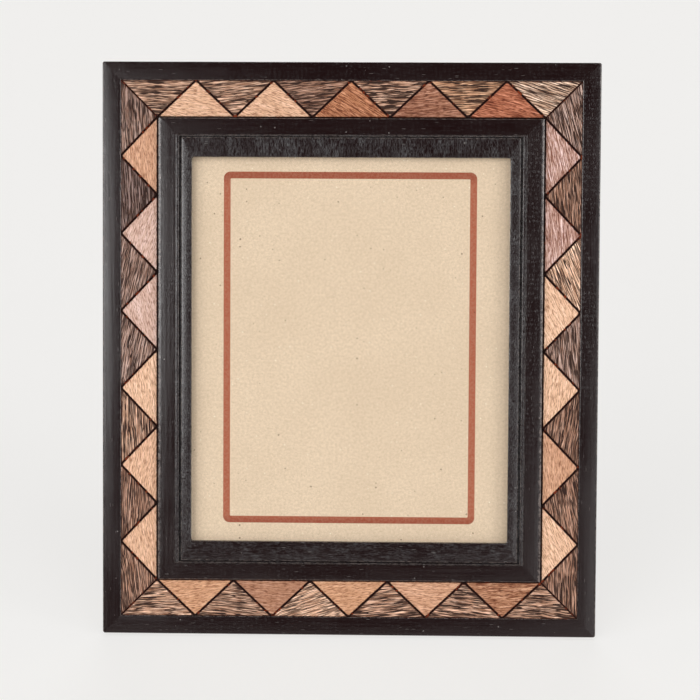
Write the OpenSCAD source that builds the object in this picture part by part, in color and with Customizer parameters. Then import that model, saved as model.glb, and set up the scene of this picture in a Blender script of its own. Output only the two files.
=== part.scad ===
// Portrait picture frame with a band of triangular wood inlay, standing on its easel leg.
// Millimetres. The frame is drawn upright, with its back on the XZ plane and its front towards -Y,
// and is then leant back about its lower back edge, so that it stands on that edge and on the leg's foot.

/* [Picture] */
// Width of the glass, the insert and the boards behind it
insert_w = 254; // [150:1:400]
// Height of the glass, the insert and the boards behind it
insert_h = 304.8; // [200:0.1:500]
// How far the slips cover the picture on each side
lap = 5; // [3:0.5:8]
// Play between the picture's edge and the slips' walls
insert_clear = 0.8; // [0.3:0.1:2]
// Thickness of the glass
glass_t = 2; // [1.5:0.5:4]
// Thickness of the insert card
insert_t = 1; // [0.4:0.2:3]
// Thickness of the filler card
filler_t = 3.5; // [1:0.5:6]
// Thickness of the backing board
board_t = 4; // [3:0.5:6]
// How deep the backing board lies below the rails' back
board_set = 0.3; // [0.1:0.1:1]

/* [Slips] */
// Width of the side slips' face
slip_side_w = 8.3; // [6:0.1:20]
// Width of the top and bottom slips' face
slip_end_w = 15; // [6:0.1:30]
// Thickness of the slips' lip in front of the glass
lip_t = 4.5; // [3:0.5:8]
// Width of the groove along a side slip's face
groove_side = 1.6; // [0.8:0.1:4]
// Width of the groove along an end slip's face
groove_end = 0.8; // [0.4:0.1:4]
// Depth of the grooves below the slips' face
groove_depth = 2.2; // [1:0.1:4]
// Width of the side slips' raised outer bead
bead_side = 2.8; // [1:0.1:5]
// Width of the end slips' raised outer bead
bead_end = 1.2; // [0.8:0.1:5]
// How far the bead lies below the front of the moulding
bead_drop = 0.4; // [0.1:0.1:2]
// Radius of the bead's eased arrises
bead_arris_r = 0.4; // [0.1:0.1:0.5]
// How far the slips' face lies below the front of the moulding
slip_drop = 1.5; // [0.5:0.1:5]
// Play between the slips and the rails
slip_fit = 0.1; // [0:0.05:0.3]

/* [Moulding] */
// Width of the raised inner moulding
mould_w = 13; // [8:0.1:30]
// How far the moulding stands in front of the border
mould_rise = 2.8; // [1:0.1:6]
// Radius of the eased arrises of the moulding and the border's outer edge
arris_r = 1.2; // [0.4:0.1:2]
// Radius of the eased arris of the border beside the inlay
inlay_arris_r = 0.6; // [0.2:0.1:1]
// Radius of the eased outer arris of the slips
slip_arris_r = 0.9; // [0.3:0.1:1.5]

/* [Inlay] */
// Width of the inlay band
band_w = 27.9; // [15:0.1:50]
// Light triangles on the top rail and on the bottom rail
tiles_across = 5; // [3:1:9]
// Light triangles on each side rail
tiles_high = 6; // [3:1:11]
// Thickness of the inlay pieces
tile_t = 3; // [1.5:0.5:5]
// How far the inlay lies below the front of the border
tile_drop = 0.6; // [0.2:0.1:2]
// Width of the dark joint between two inlay pieces
tile_joint = 0.9; // [0.3:0.1:2]

/* [Border] */
// Width of the outer border
border_w = 14; // [8:0.5:30]

/* [Corner nails] */
// Length of each wing of a V nail
nail_wing = 6; // [4:0.5:9]
// Thickness of the V nails
nail_t = 0.6; // [0.4:0.1:1]
// Wood left in front of a driven nail
nail_skin = 3.4; // [2:0.2:5]
// Distance of the outer nails from the frame's edges
nail_outer = 16; // [8:1:20]
// Distance of the inner nails from the rails' inner edge
nail_inner = 18; // [10:1:20]

/* [Turn buttons] */
// Length of a turn button from its screw to its tip
button_reach = 28; // [22:1:40]
// Width of a turn button
button_w = 10; // [8:0.5:14]
// Thickness of a turn button
button_t = 1.2; // [0.8:0.1:2]
// Distance of the screws from the rails' inner edge
button_inset = 10; // [7:0.5:16]
// Distance of the side rails' buttons from the board's top and bottom edges
button_down = 72; // [20:1:80]
// Distance of the end rails' buttons from the board's side edges
button_in = 42; // [20:1:50]

/* [Screws] */
// Radius of the screws' shanks
screw_r = 1.75; // [1.5:0.05:2]
// Radius of the screws' heads
screw_head_r = 3.2; // [3:0.1:4]
// Height of the screws' heads
screw_head_h = 1.9; // [1.4:0.1:2.4]
// Wood left in front of a screw's tip
screw_skin = 2.4; // [1:0.2:4]
// Width of the cross cut in a screw's head
screw_slot_w = 0.9; // [0.6:0.1:1.2]
// Length of the cross cut
screw_slot_len = 3.8; // [3:0.1:4.4]
// Depth of the cross cut
screw_slot_deep = 0.9; // [0.5:0.1:1.2]
// Radial play of a shank in wood
screw_wood_fit = 0.05; // [0:0.01:0.1]

/* [Hangers] */
// Width of a hanger's strap
strap_w = 12; // [10:0.5:14]
// Length of a strap below its ring's bar
strap_len = 40; // [36:1:50]
// Thickness of a strap, with its two leaves pressed together
strap_t = 1.6; // [1.2:0.1:2]
// Radius of the ring's wire
wire_r = 1.2; // [1:0.1:1.4]
// Width inside a ring
ring_in_w = 15; // [14:0.5:18]
// Length of a ring's straight legs
ring_leg = 5; // [4:0.5:7]
// Distance of the straps from the rails' inner edge
strap_inset = 28; // [24:0.5:32]
// Distance of the rings' bars from the frame's top edge
strap_down = 54; // [40:1:80]
// Gap between a strap's knuckle and the rail
strap_lift = 0.1; // [0:0.1:0.4]
// Distance from a ring's bar to the upper screw
strap_screw_1 = 20; // [19:0.5:22]
// Distance from a ring's bar to the lower screw
strap_screw_2 = 33; // [31:0.5:34]

/* [Easel leg] */
// How far the frame leans back
lean = 15; // [8:1:20]
// How far the leg opens from the back
leg_open = 28; // [20:1:32]
// Height of the leg's pin above the middle of the frame
pin_up = 43; // [10:1:60]
// Width of the leg at its hinge
leg_top_w = 46; // [42:1:60]
// Width of the leg at its foot
leg_foot_w = 86; // [60:1:100]
// Thickness of the leg
leg_t = 4; // [3:0.5:6]
// Gap between the leg's heel and the board at the stop
stop_gap = 0.3; // [0.2:0.1:0.6]

/* [Hinge] */
// Width of the hinge
hinge_w = 38; // [30:1:40]
// Length of each leaf from the pin
leaf_len = 24; // [20:1:32]
// Thickness of the leaves
leaf_t = 0.8; // [0.6:0.1:1.2]
// Radius of the hinge's knuckles
knuckle_r = 2.2; // [2:0.1:2.6]
// Gap between the knuckles and the faces beside them
knuckle_lift = 0.3; // [0.2:0.1:0.6]
// Gap between a leaf's edge and the other leaf's knuckles
leaf_clear = 0.5; // [0.3:0.1:1]
// Radius of the hinge pin
pin_r = 1.25; // [1:0.05:1.4]
// Radius of the pin's heads
pin_head_r = 1.75; // [1.6:0.05:2]
// Thickness of the pin's heads
pin_head_t = 0.8; // [0.5:0.1:1.2]
// Length of the middle knuckle
knuckle_mid = 13; // [10:0.5:16]
// Distance of the rivets from the leaves' side edges
rivet_in = 6; // [4:0.5:8]
// Radius of the rivets' shanks
rivet_r = 1.4; // [1:0.1:1.8]
// Radius of the rivets' heads
rivet_head_r = 2.6; // [2.2:0.1:3.2]
// Height of the rivets' heads
rivet_head_h = 0.9; // [0.6:0.1:1.2]
// Board left in front of a rivet's end
rivet_skin = 1; // [0.5:0.1:2]

/* [Clearances] */
// Radial play of the pins and screws that something turns on
turn_fit = 0.08; // [0.02:0.01:0.1]
// Gap between faces that slide past each other
slide_gap = 0.2; // [0.1:0.05:0.4]
// Radial play of a rivet in its holes
rivet_fit = 0.03; // [0:0.01:0.1]

/* [Hidden] */
$fn = 48;
// Where a cut starts outside what it cuts
over = 1;

// Sizes that follow from the picture, from the sight edge outwards
sight_w = insert_w - 2 * lap;
sight_h = insert_h - 2 * lap;
open_w = sight_w + 2 * (slip_side_w + groove_side + bead_side);
open_h = sight_h + 2 * (slip_end_w + groove_end + bead_end);
inlay_w = open_w + 2 * mould_w;
inlay_h = open_h + 2 * mould_w;
outer_w = inlay_w + 2 * (band_w + border_w);
outer_h = inlay_h + 2 * (band_w + border_w);
rail_w = border_w + band_w + mould_w;

// Depths, counted from the rails' back towards the front
board_front = board_set + board_t;
filler_front = board_front + filler_t;
insert_front = filler_front + insert_t;
glass_front = insert_front + glass_t;
slip_front = glass_front + lip_t;
mould_front = slip_front + slip_drop;
rail_front = mould_front - mould_rise;
channel_floor = rail_front - tile_drop - tile_t;
groove_floor = slip_front - groove_depth;
bead_front = mould_front - bead_drop;
screw_depth = channel_floor - screw_skin;
nail_depth = channel_floor - nail_skin;

// Hinge and leg. The leg's own axes start at the pin, with -Z along the folded leg.
pin_off = knuckle_r + knuckle_lift;
pin_y = pin_off - board_set;
pin_z = outer_h / 2 + pin_up;
leg_tilt = leg_open - lean;
pin_height = pin_z * cos(lean) - pin_y * sin(lean);
heel = (pin_off - stop_gap + pin_off * cos(leg_open)) / sin(leg_open);
foot_front = (pin_height + pin_off * sin(leg_tilt)) / cos(leg_tilt);
foot_back = (pin_height + (pin_off + leg_t) * sin(leg_tilt)) / cos(leg_tilt);
leaf_start = knuckle_r + leaf_clear;
rivet_x = hinge_w / 2 - rivet_in;
rivet_z = leaf_start + (leaf_len - leaf_start) / 2;
rivet_depth = board_t - rivet_skin;

// Hangers
ring_half = ring_in_w / 2 + wire_r;
strap_knuckle_r = wire_r + turn_fit + leaf_t;
strap_y = strap_knuckle_r + strap_lift;
strap_x = open_w / 2 + strap_inset;
strap_z = outer_h / 2 - strap_down;
strap_end = strap_len - strap_w / 2;

// The leant frame's reach along Y, for an origin in the middle
reach_front = rail_front * cos(lean) - arris_r * (cos(lean) + sin(lean) - 1);
reach_back = pin_y * cos(lean) + pin_z * sin(lean)
    + foot_back * sin(leg_tilt) + (pin_off + leg_t) * cos(leg_tilt);
stand_y = (reach_front - reach_back) / 2;

// The sides in turn, and each turn button's side with its direction along it, all seen from the front
SIDES = ["bottom", "right", "top", "left"];
BUTTONS = [
    ["turn_button_bottom_left", 0, -1],
    ["turn_button_bottom_right", 0, 1],
    ["turn_button_right_lower", 1, -1],
    ["turn_button_right_upper", 1, 1],
    ["turn_button_top_right", 2, -1],
    ["turn_button_top_left", 2, 1],
    ["turn_button_left_upper", 3, -1],
    ["turn_button_left_lower", 3, 1],
];

// Places

// The finished stance: leant back on the lower back edge
module stand() translate([0, stand_y, 0]) rotate([-lean, 0, 0]) children();

// The middle of the upright frame's back
module middle() stand() translate([0, 0, outer_h / 2]) children();

// One side of the frame: X runs along it, Z runs inwards from its outer edge
module side(k) middle() rotate([0, -90 * k, 0]) translate([0, 0, -side_half(k)]) children();
function side_half(k) = (k % 2 == 0 ? outer_h : outer_w) / 2;
function side_len(k) = k % 2 == 0 ? outer_w : outer_h;

// The leg's own axes at its pin
module at_pin() stand() translate([0, pin_y, pin_z]) children();
module at_leg() at_pin() rotate([leg_open, 0, 0]) children();

// One side of the opening: X runs along it, Z runs inwards from its edge
module opening_side(k) rotate([0, -90 * k, 0]) translate([0, 0, -open_half(k)]) children();
function open_half(k) = (k % 2 == 0 ? open_h : open_w) / 2;

// A turn button's pivot, with Z pointing inwards
module at_button(b) middle() opening_side(b[1]) translate([b[2] * button_along(b[1]), 0, -button_inset])
    children();
function button_along(k) = k % 2 == 0 ? insert_w / 2 - button_in : insert_h / 2 - button_down;

// Shared shapes

// What easing takes off a square corner at the origin, on the side of the given signs
module corner_cut(r, sx, sy) difference() {
    translate([sx > 0 ? -over : -r, sy > 0 ? -over : -r]) square(r + over);
    translate([sx * r, sy * r]) circle(r);
}

// Draws a section in Y and Z and runs it along X for the given length
module along_x(len) translate([-len / 2, 0, 0]) rotate([90, 0, 90]) linear_extrude(len) children();

// Draws an outline in X and Z between two depths
module slab(back, front) translate([0, -back, 0]) rotate([90, 0, 0]) linear_extrude(front - back) children();

// The mitred room of one side
module mitre_room(k) slab(-over, mould_front + over)
    polygon([[-side_len(k) / 2 - over, -over], [side_len(k) / 2 + over, -over],
        [side_len(k) / 2 - rail_w, rail_w], [-side_len(k) / 2 + rail_w, rail_w]]);

// A cylinder along Y from depth y0 to y1
module pin_y_axis(r, y0, y1) translate([0, y1, 0]) rotate([90, 0, 0]) cylinder(r = r, h = y1 - y0);

// A domed head along +Y, standing on the XZ plane
module dome(r, h) rotate([-90, 0, 0]) rotate_extrude() intersection() {
    square([r, h]);
    translate([0, h - (r * r + h * h) / (2 * h)]) circle((r * r + h * h) / (2 * h), $fn = 96);
}

// A cross-cut screw whose head stands on the given height above the wood
module screw(seat) {
    difference() {
        translate([0, seat, 0]) dome(screw_head_r, screw_head_h);
        for (turn = [0, 90]) rotate([0, turn, 0])
            translate([-screw_slot_len / 2, seat + screw_head_h - screw_slot_deep, -screw_slot_w / 2])
                cube([screw_slot_len, screw_slot_deep + over, screw_slot_w]);
    }
    pin_y_axis(screw_r, -screw_depth, seat);
}

// Base rails

module rail_section() difference() {
    polygon([[0, 0], [-rail_front, 0], [-rail_front, border_w], [-channel_floor, border_w],
        [-channel_floor, rail_w], [0, rail_w]]);
    translate([-rail_front, 0]) corner_cut(arris_r, 1, 1);
    translate([-rail_front, border_w]) corner_cut(inlay_arris_r, 1, -1);
}

module rail(k) color([0.13, 0.1, 0.1]) difference() {
    side(k) intersection() {
        along_x(side_len(k)) rail_section();
        mitre_room(k);
    }
    mitre_nails();
    for (b = BUTTONS) at_button(b) pin_y_axis(screw_r + screw_wood_fit, -screw_depth, over);
    for (sx = [-1, 1]) at_strap_screws(sx) pin_y_axis(screw_r + screw_wood_fit, -screw_depth, over);
}

// Inlay

function tile_count(k) = k % 2 == 0 ? tiles_across : tiles_high;
function inlay_len(k) = k % 2 == 0 ? inlay_w : inlay_h;
function tile_pitch(k) = inlay_len(k) / tile_count(k);

// Where the bases of the light tiles meet, and where their points lie
function base_x(k, i) = -inlay_len(k) / 2 + i * tile_pitch(k);
function apex_x(k, i) = i < 0 ? base_x(k, 0) - band_w
    : i >= tile_count(k) ? base_x(k, i) + band_w : base_x(k, i + 0.5);

function light_tile(k, i) =
    [[base_x(k, i), border_w + band_w], [base_x(k, i + 1), border_w + band_w], [apex_x(k, i), border_w]];
function palm_tile(k, i) =
    [[apex_x(k, i - 1), border_w], [apex_x(k, i), border_w], [base_x(k, i), border_w + band_w]];

// A triangle drawn in by the same distance on its three sides
function side_lengths(t) = [norm(t[1] - t[2]), norm(t[2] - t[0]), norm(t[0] - t[1])];
function total(v) = v[0] + v[1] + v[2];
function incentre(t) = (side_lengths(t)[0] * t[0] + side_lengths(t)[1] * t[1] + side_lengths(t)[2] * t[2])
    / total(side_lengths(t));
function area(t) = abs(cross(t[1] - t[0], t[2] - t[0])) / 2;
function inradius(t) = 2 * area(t) / total(side_lengths(t));
function drawn_in(t, by) = [for (p = t) incentre(t) + (p - incentre(t)) * (1 - by / inradius(t))];

module tile(t) slab(channel_floor, channel_floor + tile_t) polygon(drawn_in(t, tile_joint / 2));

module palm_inlay(k) color([0.52, 0.4, 0.3]) side(k)
    for (i = [0:tile_count(k)]) tile(palm_tile(k, i));

module light_inlay(k) color([0.82, 0.6, 0.45]) side(k)
    for (i = [0:tile_count(k) - 1]) tile(light_tile(k, i));

// Raised moulding

module moulding_section() difference() {
    translate([-mould_front, rail_w - mould_w]) square([mould_front - channel_floor, mould_w]);
    translate([-mould_front, rail_w - mould_w]) corner_cut(arris_r, 1, 1);
    translate([-mould_front, rail_w]) corner_cut(arris_r, 1, -1);
}

module moulding(k) color([0.11, 0.09, 0.09]) side(k) intersection() {
    along_x(side_len(k)) moulding_section();
    mitre_room(k);
}

// Slips

// Where a slip's bead, groove and face end, counted inwards from the opening's edge
function bead_z(k) = k % 2 == 0 ? bead_end : bead_side;
function groove_z(k) = bead_z(k) + (k % 2 == 0 ? groove_end : groove_side);
function slip_z(k) = groove_z(k) + (k % 2 == 0 ? slip_end_w : slip_side_w);

// A block of the given length about the middle of a side
module block(len, z0, z1, back, front) slab(back, front) translate([-len / 2, z0]) square([len, z1 - z0]);

// One side of the bead, with its inner arris eased
module bead(k) opening_side(k) along_x(2 * (open_half(k + 1) - slip_fit)) difference() {
    translate([-bead_front, slip_fit]) square([bead_front - groove_floor + over, bead_z(k) - slip_fit]);
    translate([-bead_front, bead_z(k)]) corner_cut(bead_arris_r, 1, -1);
}

// What one slip carries of the bead that runs round the opening
module bead_part(k) difference() {
    intersection() {
        for (edge = [0:3]) bead(edge);
        opening_side(k) block(k % 2 == 0 ? open_w : sight_h, 0, slip_z(k), 0, mould_front);
    }
    for (edge = [0:3]) opening_side(edge) along_x(2 * open_h) translate([-bead_front, slip_fit])
        corner_cut(bead_arris_r, 1, 1);
}

// A slip's face inside its groove, with its outer arrises eased
module slip_face(k) difference() {
    opening_side(k) block(k % 2 == 0 ? open_w - 2 * groove_z(1) : sight_h, groove_z(k), slip_z(k),
        groove_floor - over, slip_front);
    for (edge = k % 2 == 0 ? [k, k + 1, k + 3] : [k]) opening_side(edge)
        translate([0, 0, groove_z(edge)]) along_x(2 * open_h) translate([-slip_front, 0])
            corner_cut(slip_arris_r, 1, 1);
}

// The end slips run the whole width, and the side slips stand between them
module slip(k) color([0.14, 0.11, 0.11]) middle() difference() {
    union() {
        slip_face(k);
        opening_side(k)
            block(k % 2 == 0 ? open_w - 2 * slip_fit : sight_h, slip_fit, slip_z(k), 0, groove_floor);
        bead_part(k);
    }
    opening_side(k) block(k % 2 == 0 ? insert_w + 2 * insert_clear : sight_h + 2 * over,
        slip_z(k) - lap - insert_clear, slip_z(k) + over, -over, glass_front);
}

// A rectangle about the middle
module rect(w, h) translate([-w / 2, -h / 2]) square([w, h]);

// Mitre nails, two at each corner, flush with the back

module mitre_nails() color([0.6, 0.6, 0.62]) for (k = [0:3], at = [nail_outer, rail_w - nail_inner])
    side(k) translate([-side_len(k) / 2 + at, 0, at]) slab(0, nail_depth) {
        square([nail_wing, nail_t]);
        square([nail_t, nail_wing]);
    }

// Picture stack

module layer(back, front) middle() slab(back, front) rect(insert_w, insert_h);

module glass_pane() color([0.8, 0.9, 0.9, 0.3]) layer(insert_front, glass_front);

module insert_card() color([0.89, 0.81, 0.69]) layer(filler_front, insert_front);

module filler_card() color([0.72, 0.58, 0.42]) layer(board_front, filler_front);

module backing_board() color([0.16, 0.13, 0.11]) difference() {
    layer(board_set, board_front);
    at_pin() at_board_rivets() pin_y_axis(rivet_r + rivet_fit, -rivet_depth, over);
}

// Turn buttons

module turn_button(b) color([0.75, 0.62, 0.35]) at_button(b) translate([0, slide_gap, 0]) difference() {
    slab(-button_t, 0) {
        circle(button_w / 2);
        translate([-button_w / 2, 0]) square([button_w, button_reach - button_w / 2]);
        translate([0, button_reach - button_w / 2]) circle(button_w / 2);
    }
    pin_y_axis(screw_r + turn_fit, -over, button_t + over);
}

module button_screws() color([0.7, 0.6, 0.38]) for (b = BUTTONS) at_button(b)
    screw(2 * slide_gap + button_t);

// Hangers

module at_strap(sx) middle() translate([sx * strap_x, 0, strap_z]) children();
module at_strap_screws(sx) at_strap(sx) for (z = [strap_screw_1, strap_screw_2])
    translate([0, 0, -z]) children();

module hanger_strap(sx) color([0.72, 0.72, 0.7]) difference() {
    at_strap(sx) difference() {
        union() {
            slab(-strap_t, 0) {
                translate([-strap_w / 2, -strap_end]) square([strap_w, strap_end]);
                translate([0, -strap_end]) circle(strap_w / 2);
            }
            translate([0, strap_y, 0]) along_x(strap_w) circle(strap_knuckle_r);
        }
        translate([0, strap_y, 0]) along_x(strap_w + 2 * over) circle(wire_r + turn_fit);
    }
    at_strap_screws(sx) pin_y_axis(screw_r + screw_wood_fit, -over, strap_t + over);
}

// The ring hangs straight down from its bar, whatever the lean
module hanger_ring(sx) color([0.75, 0.75, 0.73]) at_strap(sx)
    translate([0, strap_y, 0]) rotate([lean, 0, 0]) {
        along_x(2 * ring_half) circle(wire_r);
        for (s = [-1, 1]) translate([s * ring_half, 0, 0]) {
            sphere(wire_r);
            translate([0, 0, -ring_leg]) cylinder(r = wire_r, h = ring_leg);
        }
        translate([0, 0, -ring_leg]) rotate([90, 0, 0]) rotate([0, 0, 180])
            rotate_extrude(angle = 180) translate([ring_half, 0]) circle(wire_r);
    }

module hanger_screws() color([0.7, 0.7, 0.68]) for (sx = [-1, 1]) at_strap_screws(sx) screw(strap_t);

// Easel leg and its hinge

module at_board_rivets() for (sx = [-1, 1]) translate([sx * rivet_x, -pin_off, -rivet_z]) children();
module at_leg_rivets() for (sx = [-1, 1]) translate([sx * rivet_x, pin_off, -rivet_z]) children();

module leg_panel() color([0.12, 0.1, 0.09]) at_leg() difference() {
    intersection() {
        along_x(leg_foot_w + 2 * over) polygon([[pin_off, heel], [pin_off + leg_t, heel],
            [pin_off + leg_t, -foot_back], [pin_off, -foot_front]]);
        slab(-pin_off - leg_t - over, 0) polygon([[-leg_top_w / 2, heel + over], [leg_top_w / 2, heel + over],
            [leg_foot_w / 2, -foot_front], [leg_foot_w / 2, -foot_back - over],
            [-leg_foot_w / 2, -foot_back - over], [-leg_foot_w / 2, -foot_front]]);
    }
    at_leg_rivets() pin_y_axis(rivet_r + rivet_fit, -over, leg_t + over);
}

// The leaf's plate from below the knuckles to its end, with its back on the XZ plane
module leaf_plate() slab(-leaf_t, 0)
    translate([-hinge_w / 2, -leaf_len]) square([hinge_w, leaf_len - leaf_start]);

// A knuckle between two places along X, with the neck that joins it to its leaf
module knuckle(x0, x1, face) difference() {
    union() {
        translate([(x0 + x1) / 2, 0, 0]) along_x(x1 - x0) circle(knuckle_r);
        translate([x0, face, -leaf_start]) cube([x1 - x0, leaf_t, leaf_start]);
    }
    translate([(x0 + x1) / 2, 0, 0]) along_x(x1 - x0 + 2 * over) circle(pin_r + turn_fit);
}

module hinge_leaf_fixed() color([0.7, 0.7, 0.68]) at_pin() {
    difference() {
        translate([0, -pin_off, 0]) leaf_plate();
        at_board_rivets() pin_y_axis(rivet_r + rivet_fit, -over, leaf_t + over);
    }
    for (s = [-1, 1]) mirror([s < 0 ? 1 : 0, 0, 0])
        knuckle(knuckle_mid / 2 + slide_gap, hinge_w / 2, -pin_off);
}

module hinge_leaf_moving() color([0.66, 0.66, 0.64]) at_leg() {
    difference() {
        translate([0, pin_off - leaf_t, 0]) leaf_plate();
        at_leg_rivets() pin_y_axis(rivet_r + rivet_fit, -leaf_t - over, over);
    }
    knuckle(-knuckle_mid / 2, knuckle_mid / 2, pin_off - leaf_t);
}

module hinge_pin() color([0.6, 0.6, 0.6]) at_pin() {
    along_x(hinge_w) circle(pin_r);
    for (s = [-1, 1]) translate([s * (hinge_w + pin_head_t) / 2, 0, 0])
        along_x(pin_head_t) circle(pin_head_r);
}

module board_rivets() color([0.75, 0.75, 0.73]) at_pin() at_board_rivets() {
    translate([0, leaf_t, 0]) dome(rivet_head_r, rivet_head_h);
    pin_y_axis(rivet_r, -rivet_depth, leaf_t);
}

module leg_rivets() color([0.75, 0.75, 0.73]) at_leg() at_leg_rivets() {
    translate([0, -leaf_t, 0]) mirror([0, 1, 0]) dome(rivet_head_r, rivet_head_h);
    pin_y_axis(rivet_r, -leaf_t, leg_t);
    translate([0, leg_t, 0]) dome(rivet_head_r, rivet_head_h);
}

// The assembly

for (k = [0:3]) {
    rail(k);
    palm_inlay(k);
    light_inlay(k);
    moulding(k);
    slip(k);
}
for (b = BUTTONS) turn_button(b);
mitre_nails();
glass_pane();
insert_card();
filler_card();
backing_board();
button_screws();
hanger_strap(-1);  // hanger_strap_left
hanger_strap(1);  // hanger_strap_right
hanger_ring(-1);  // hanger_ring_left
hanger_ring(1);  // hanger_ring_right
hanger_screws();
leg_panel();
hinge_leaf_fixed();
hinge_leaf_moving();
hinge_pin();
board_rivets();
leg_rivets();
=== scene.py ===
"""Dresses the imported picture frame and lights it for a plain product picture.

The pieces are drawn in millimetres in the upright frame: X to the right and Z up from the middle
of its back, with depth counted from the back towards the front. STANCE then leans them back onto
the easel leg. A pair of sizes across a length is for the side lengths, then for the end lengths.
"""

import functools
import logging
import math
import random
from collections.abc import Callable
from dataclasses import dataclass, field
from enum import Enum
from typing import Union

import bmesh
import bpy
import numpy as np
from mathutils import Matrix, Vector, noise

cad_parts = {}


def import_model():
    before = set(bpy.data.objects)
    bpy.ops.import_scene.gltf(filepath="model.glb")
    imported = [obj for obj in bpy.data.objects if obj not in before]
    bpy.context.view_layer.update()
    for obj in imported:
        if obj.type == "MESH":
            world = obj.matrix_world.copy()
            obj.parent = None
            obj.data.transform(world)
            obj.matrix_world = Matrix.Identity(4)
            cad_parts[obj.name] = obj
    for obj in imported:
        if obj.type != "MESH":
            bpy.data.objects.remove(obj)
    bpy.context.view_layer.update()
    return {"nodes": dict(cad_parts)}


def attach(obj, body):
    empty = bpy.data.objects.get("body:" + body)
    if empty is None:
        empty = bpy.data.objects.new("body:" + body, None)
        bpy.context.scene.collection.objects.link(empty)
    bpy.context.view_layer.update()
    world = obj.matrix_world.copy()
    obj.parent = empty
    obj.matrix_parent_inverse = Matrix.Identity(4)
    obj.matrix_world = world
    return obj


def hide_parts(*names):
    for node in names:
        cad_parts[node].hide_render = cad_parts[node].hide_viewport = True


Colour = tuple[float, float, float, float]
Pair = tuple[float, float]
Spot = tuple[float, float, float]
Material = bpy.types.Material
NodeTree = bpy.types.NodeTree
Socket = bpy.types.NodeSocket
Value = Union[float, Colour, Spot, Socket]

LOG = logging.getLogger("picture_frame")
MM = 0.001
LEAN = math.radians(15.0)
UP_THE_FRAME = (0.0, math.sin(LEAN), math.cos(LEAN))
TO_THE_RIGHT = (1.0, 0.0, 0.0)


def srgb(*levels: int) -> Colour:
    """Turns a colour as a screen shows it into the linear values that shaders take.

    Args:
        *levels: Red, green and blue from 0 to 255.

    Returns:
        The linear colour with full alpha.
    """
    shares = (level / 255 for level in levels)
    linear = (s / 12.92 if s <= 0.04045 else ((s + 0.055) / 1.055) ** 2.4 for s in shares)
    return (*linear, 1.0)


BACKDROP = srgb(240, 239, 237)


class Side(Enum):
    """The frame's sides in turn. The value counts quarter turns from the bottom side."""

    BOTTOM = 0
    RIGHT = 1
    TOP = 2
    LEFT = 3

    @property
    def label(self) -> str:
        """The side's name as the CAD nodes have it."""
        return self.name.lower()

    @property
    def is_end(self) -> bool:
        """Whether this is the top or the bottom side."""
        return self.value % 2 == 0


class Slot(Enum):
    """The record's material slots."""

    LACQUER = "black_lacquer"
    PALM = "palm_wood"
    LIGHT = "light_wood"
    GLASS = "clear_glass"
    CARD = "kraft_card"
    FILLER = "filler_board"
    BACK = "back_board"
    LEG = "leg_board"
    BRASS = "brass"
    STEEL = "steel"


@dataclass(frozen=True)
class FrameSizes:
    """The frame's sizes in millimetres, as the part's source has them.

    Attributes:
        insert: Width and height of the insert card.
        tiles: Light tiles on a side length and on an end length.
        stand_y: Where the frame's bottom edge stands, behind the middle of the footprint.
    """

    insert: Pair = (254.0, 304.8)
    lap: float = 5.0
    insert_clear: float = 0.8
    slip_w: Pair = (8.3, 15.0)
    groove_w: Pair = (1.6, 0.8)
    bead_w: Pair = (2.8, 1.2)
    slip_fit: float = 0.1
    mould_w: float = 13.0
    band_w: float = 27.9
    border_w: float = 14.0
    glass_back: float = 8.8
    channel_floor: float = 10.4
    glass_front: float = 10.8
    groove_floor: float = 13.1
    tile_front: float = 13.4
    rail_front: float = 14.0
    slip_front: float = 15.3
    bead_front: float = 16.4
    mould_front: float = 16.8
    tiles: tuple[int, int] = (6, 5)
    stand_y: float = -60.896

    @property
    def opening(self) -> Pair:
        """Width and height of the opening that the slips stand in."""
        parts = zip(self.insert, self.slip_w, self.groove_w, self.bead_w)
        return tuple(span - 2 * self.lap + 2 * sum(widths) for span, *widths in parts)

    @property
    def inlay(self) -> Pair:
        """Width and height of the inlay's inner edge."""
        return tuple(span + 2 * self.mould_w for span in self.opening)

    @property
    def outer(self) -> Pair:
        """Width and height of the whole frame."""
        return tuple(span + 2 * (self.band_w + self.border_w) for span in self.inlay)

    @property
    def rail_w(self) -> float:
        """Width of a rail from the outer edge to the opening."""
        return self.border_w + self.band_w + self.mould_w


SIZES = FrameSizes()
STANCE = (Matrix.Translation((0, SIZES.stand_y * MM, 0)) @ Matrix.Rotation(-LEAN, 4, "X")
          @ Matrix.Translation((0, 0, SIZES.outer[1] / 2 * MM)) @ Matrix.Scale(MM, 4))


# Shader nodes


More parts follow.
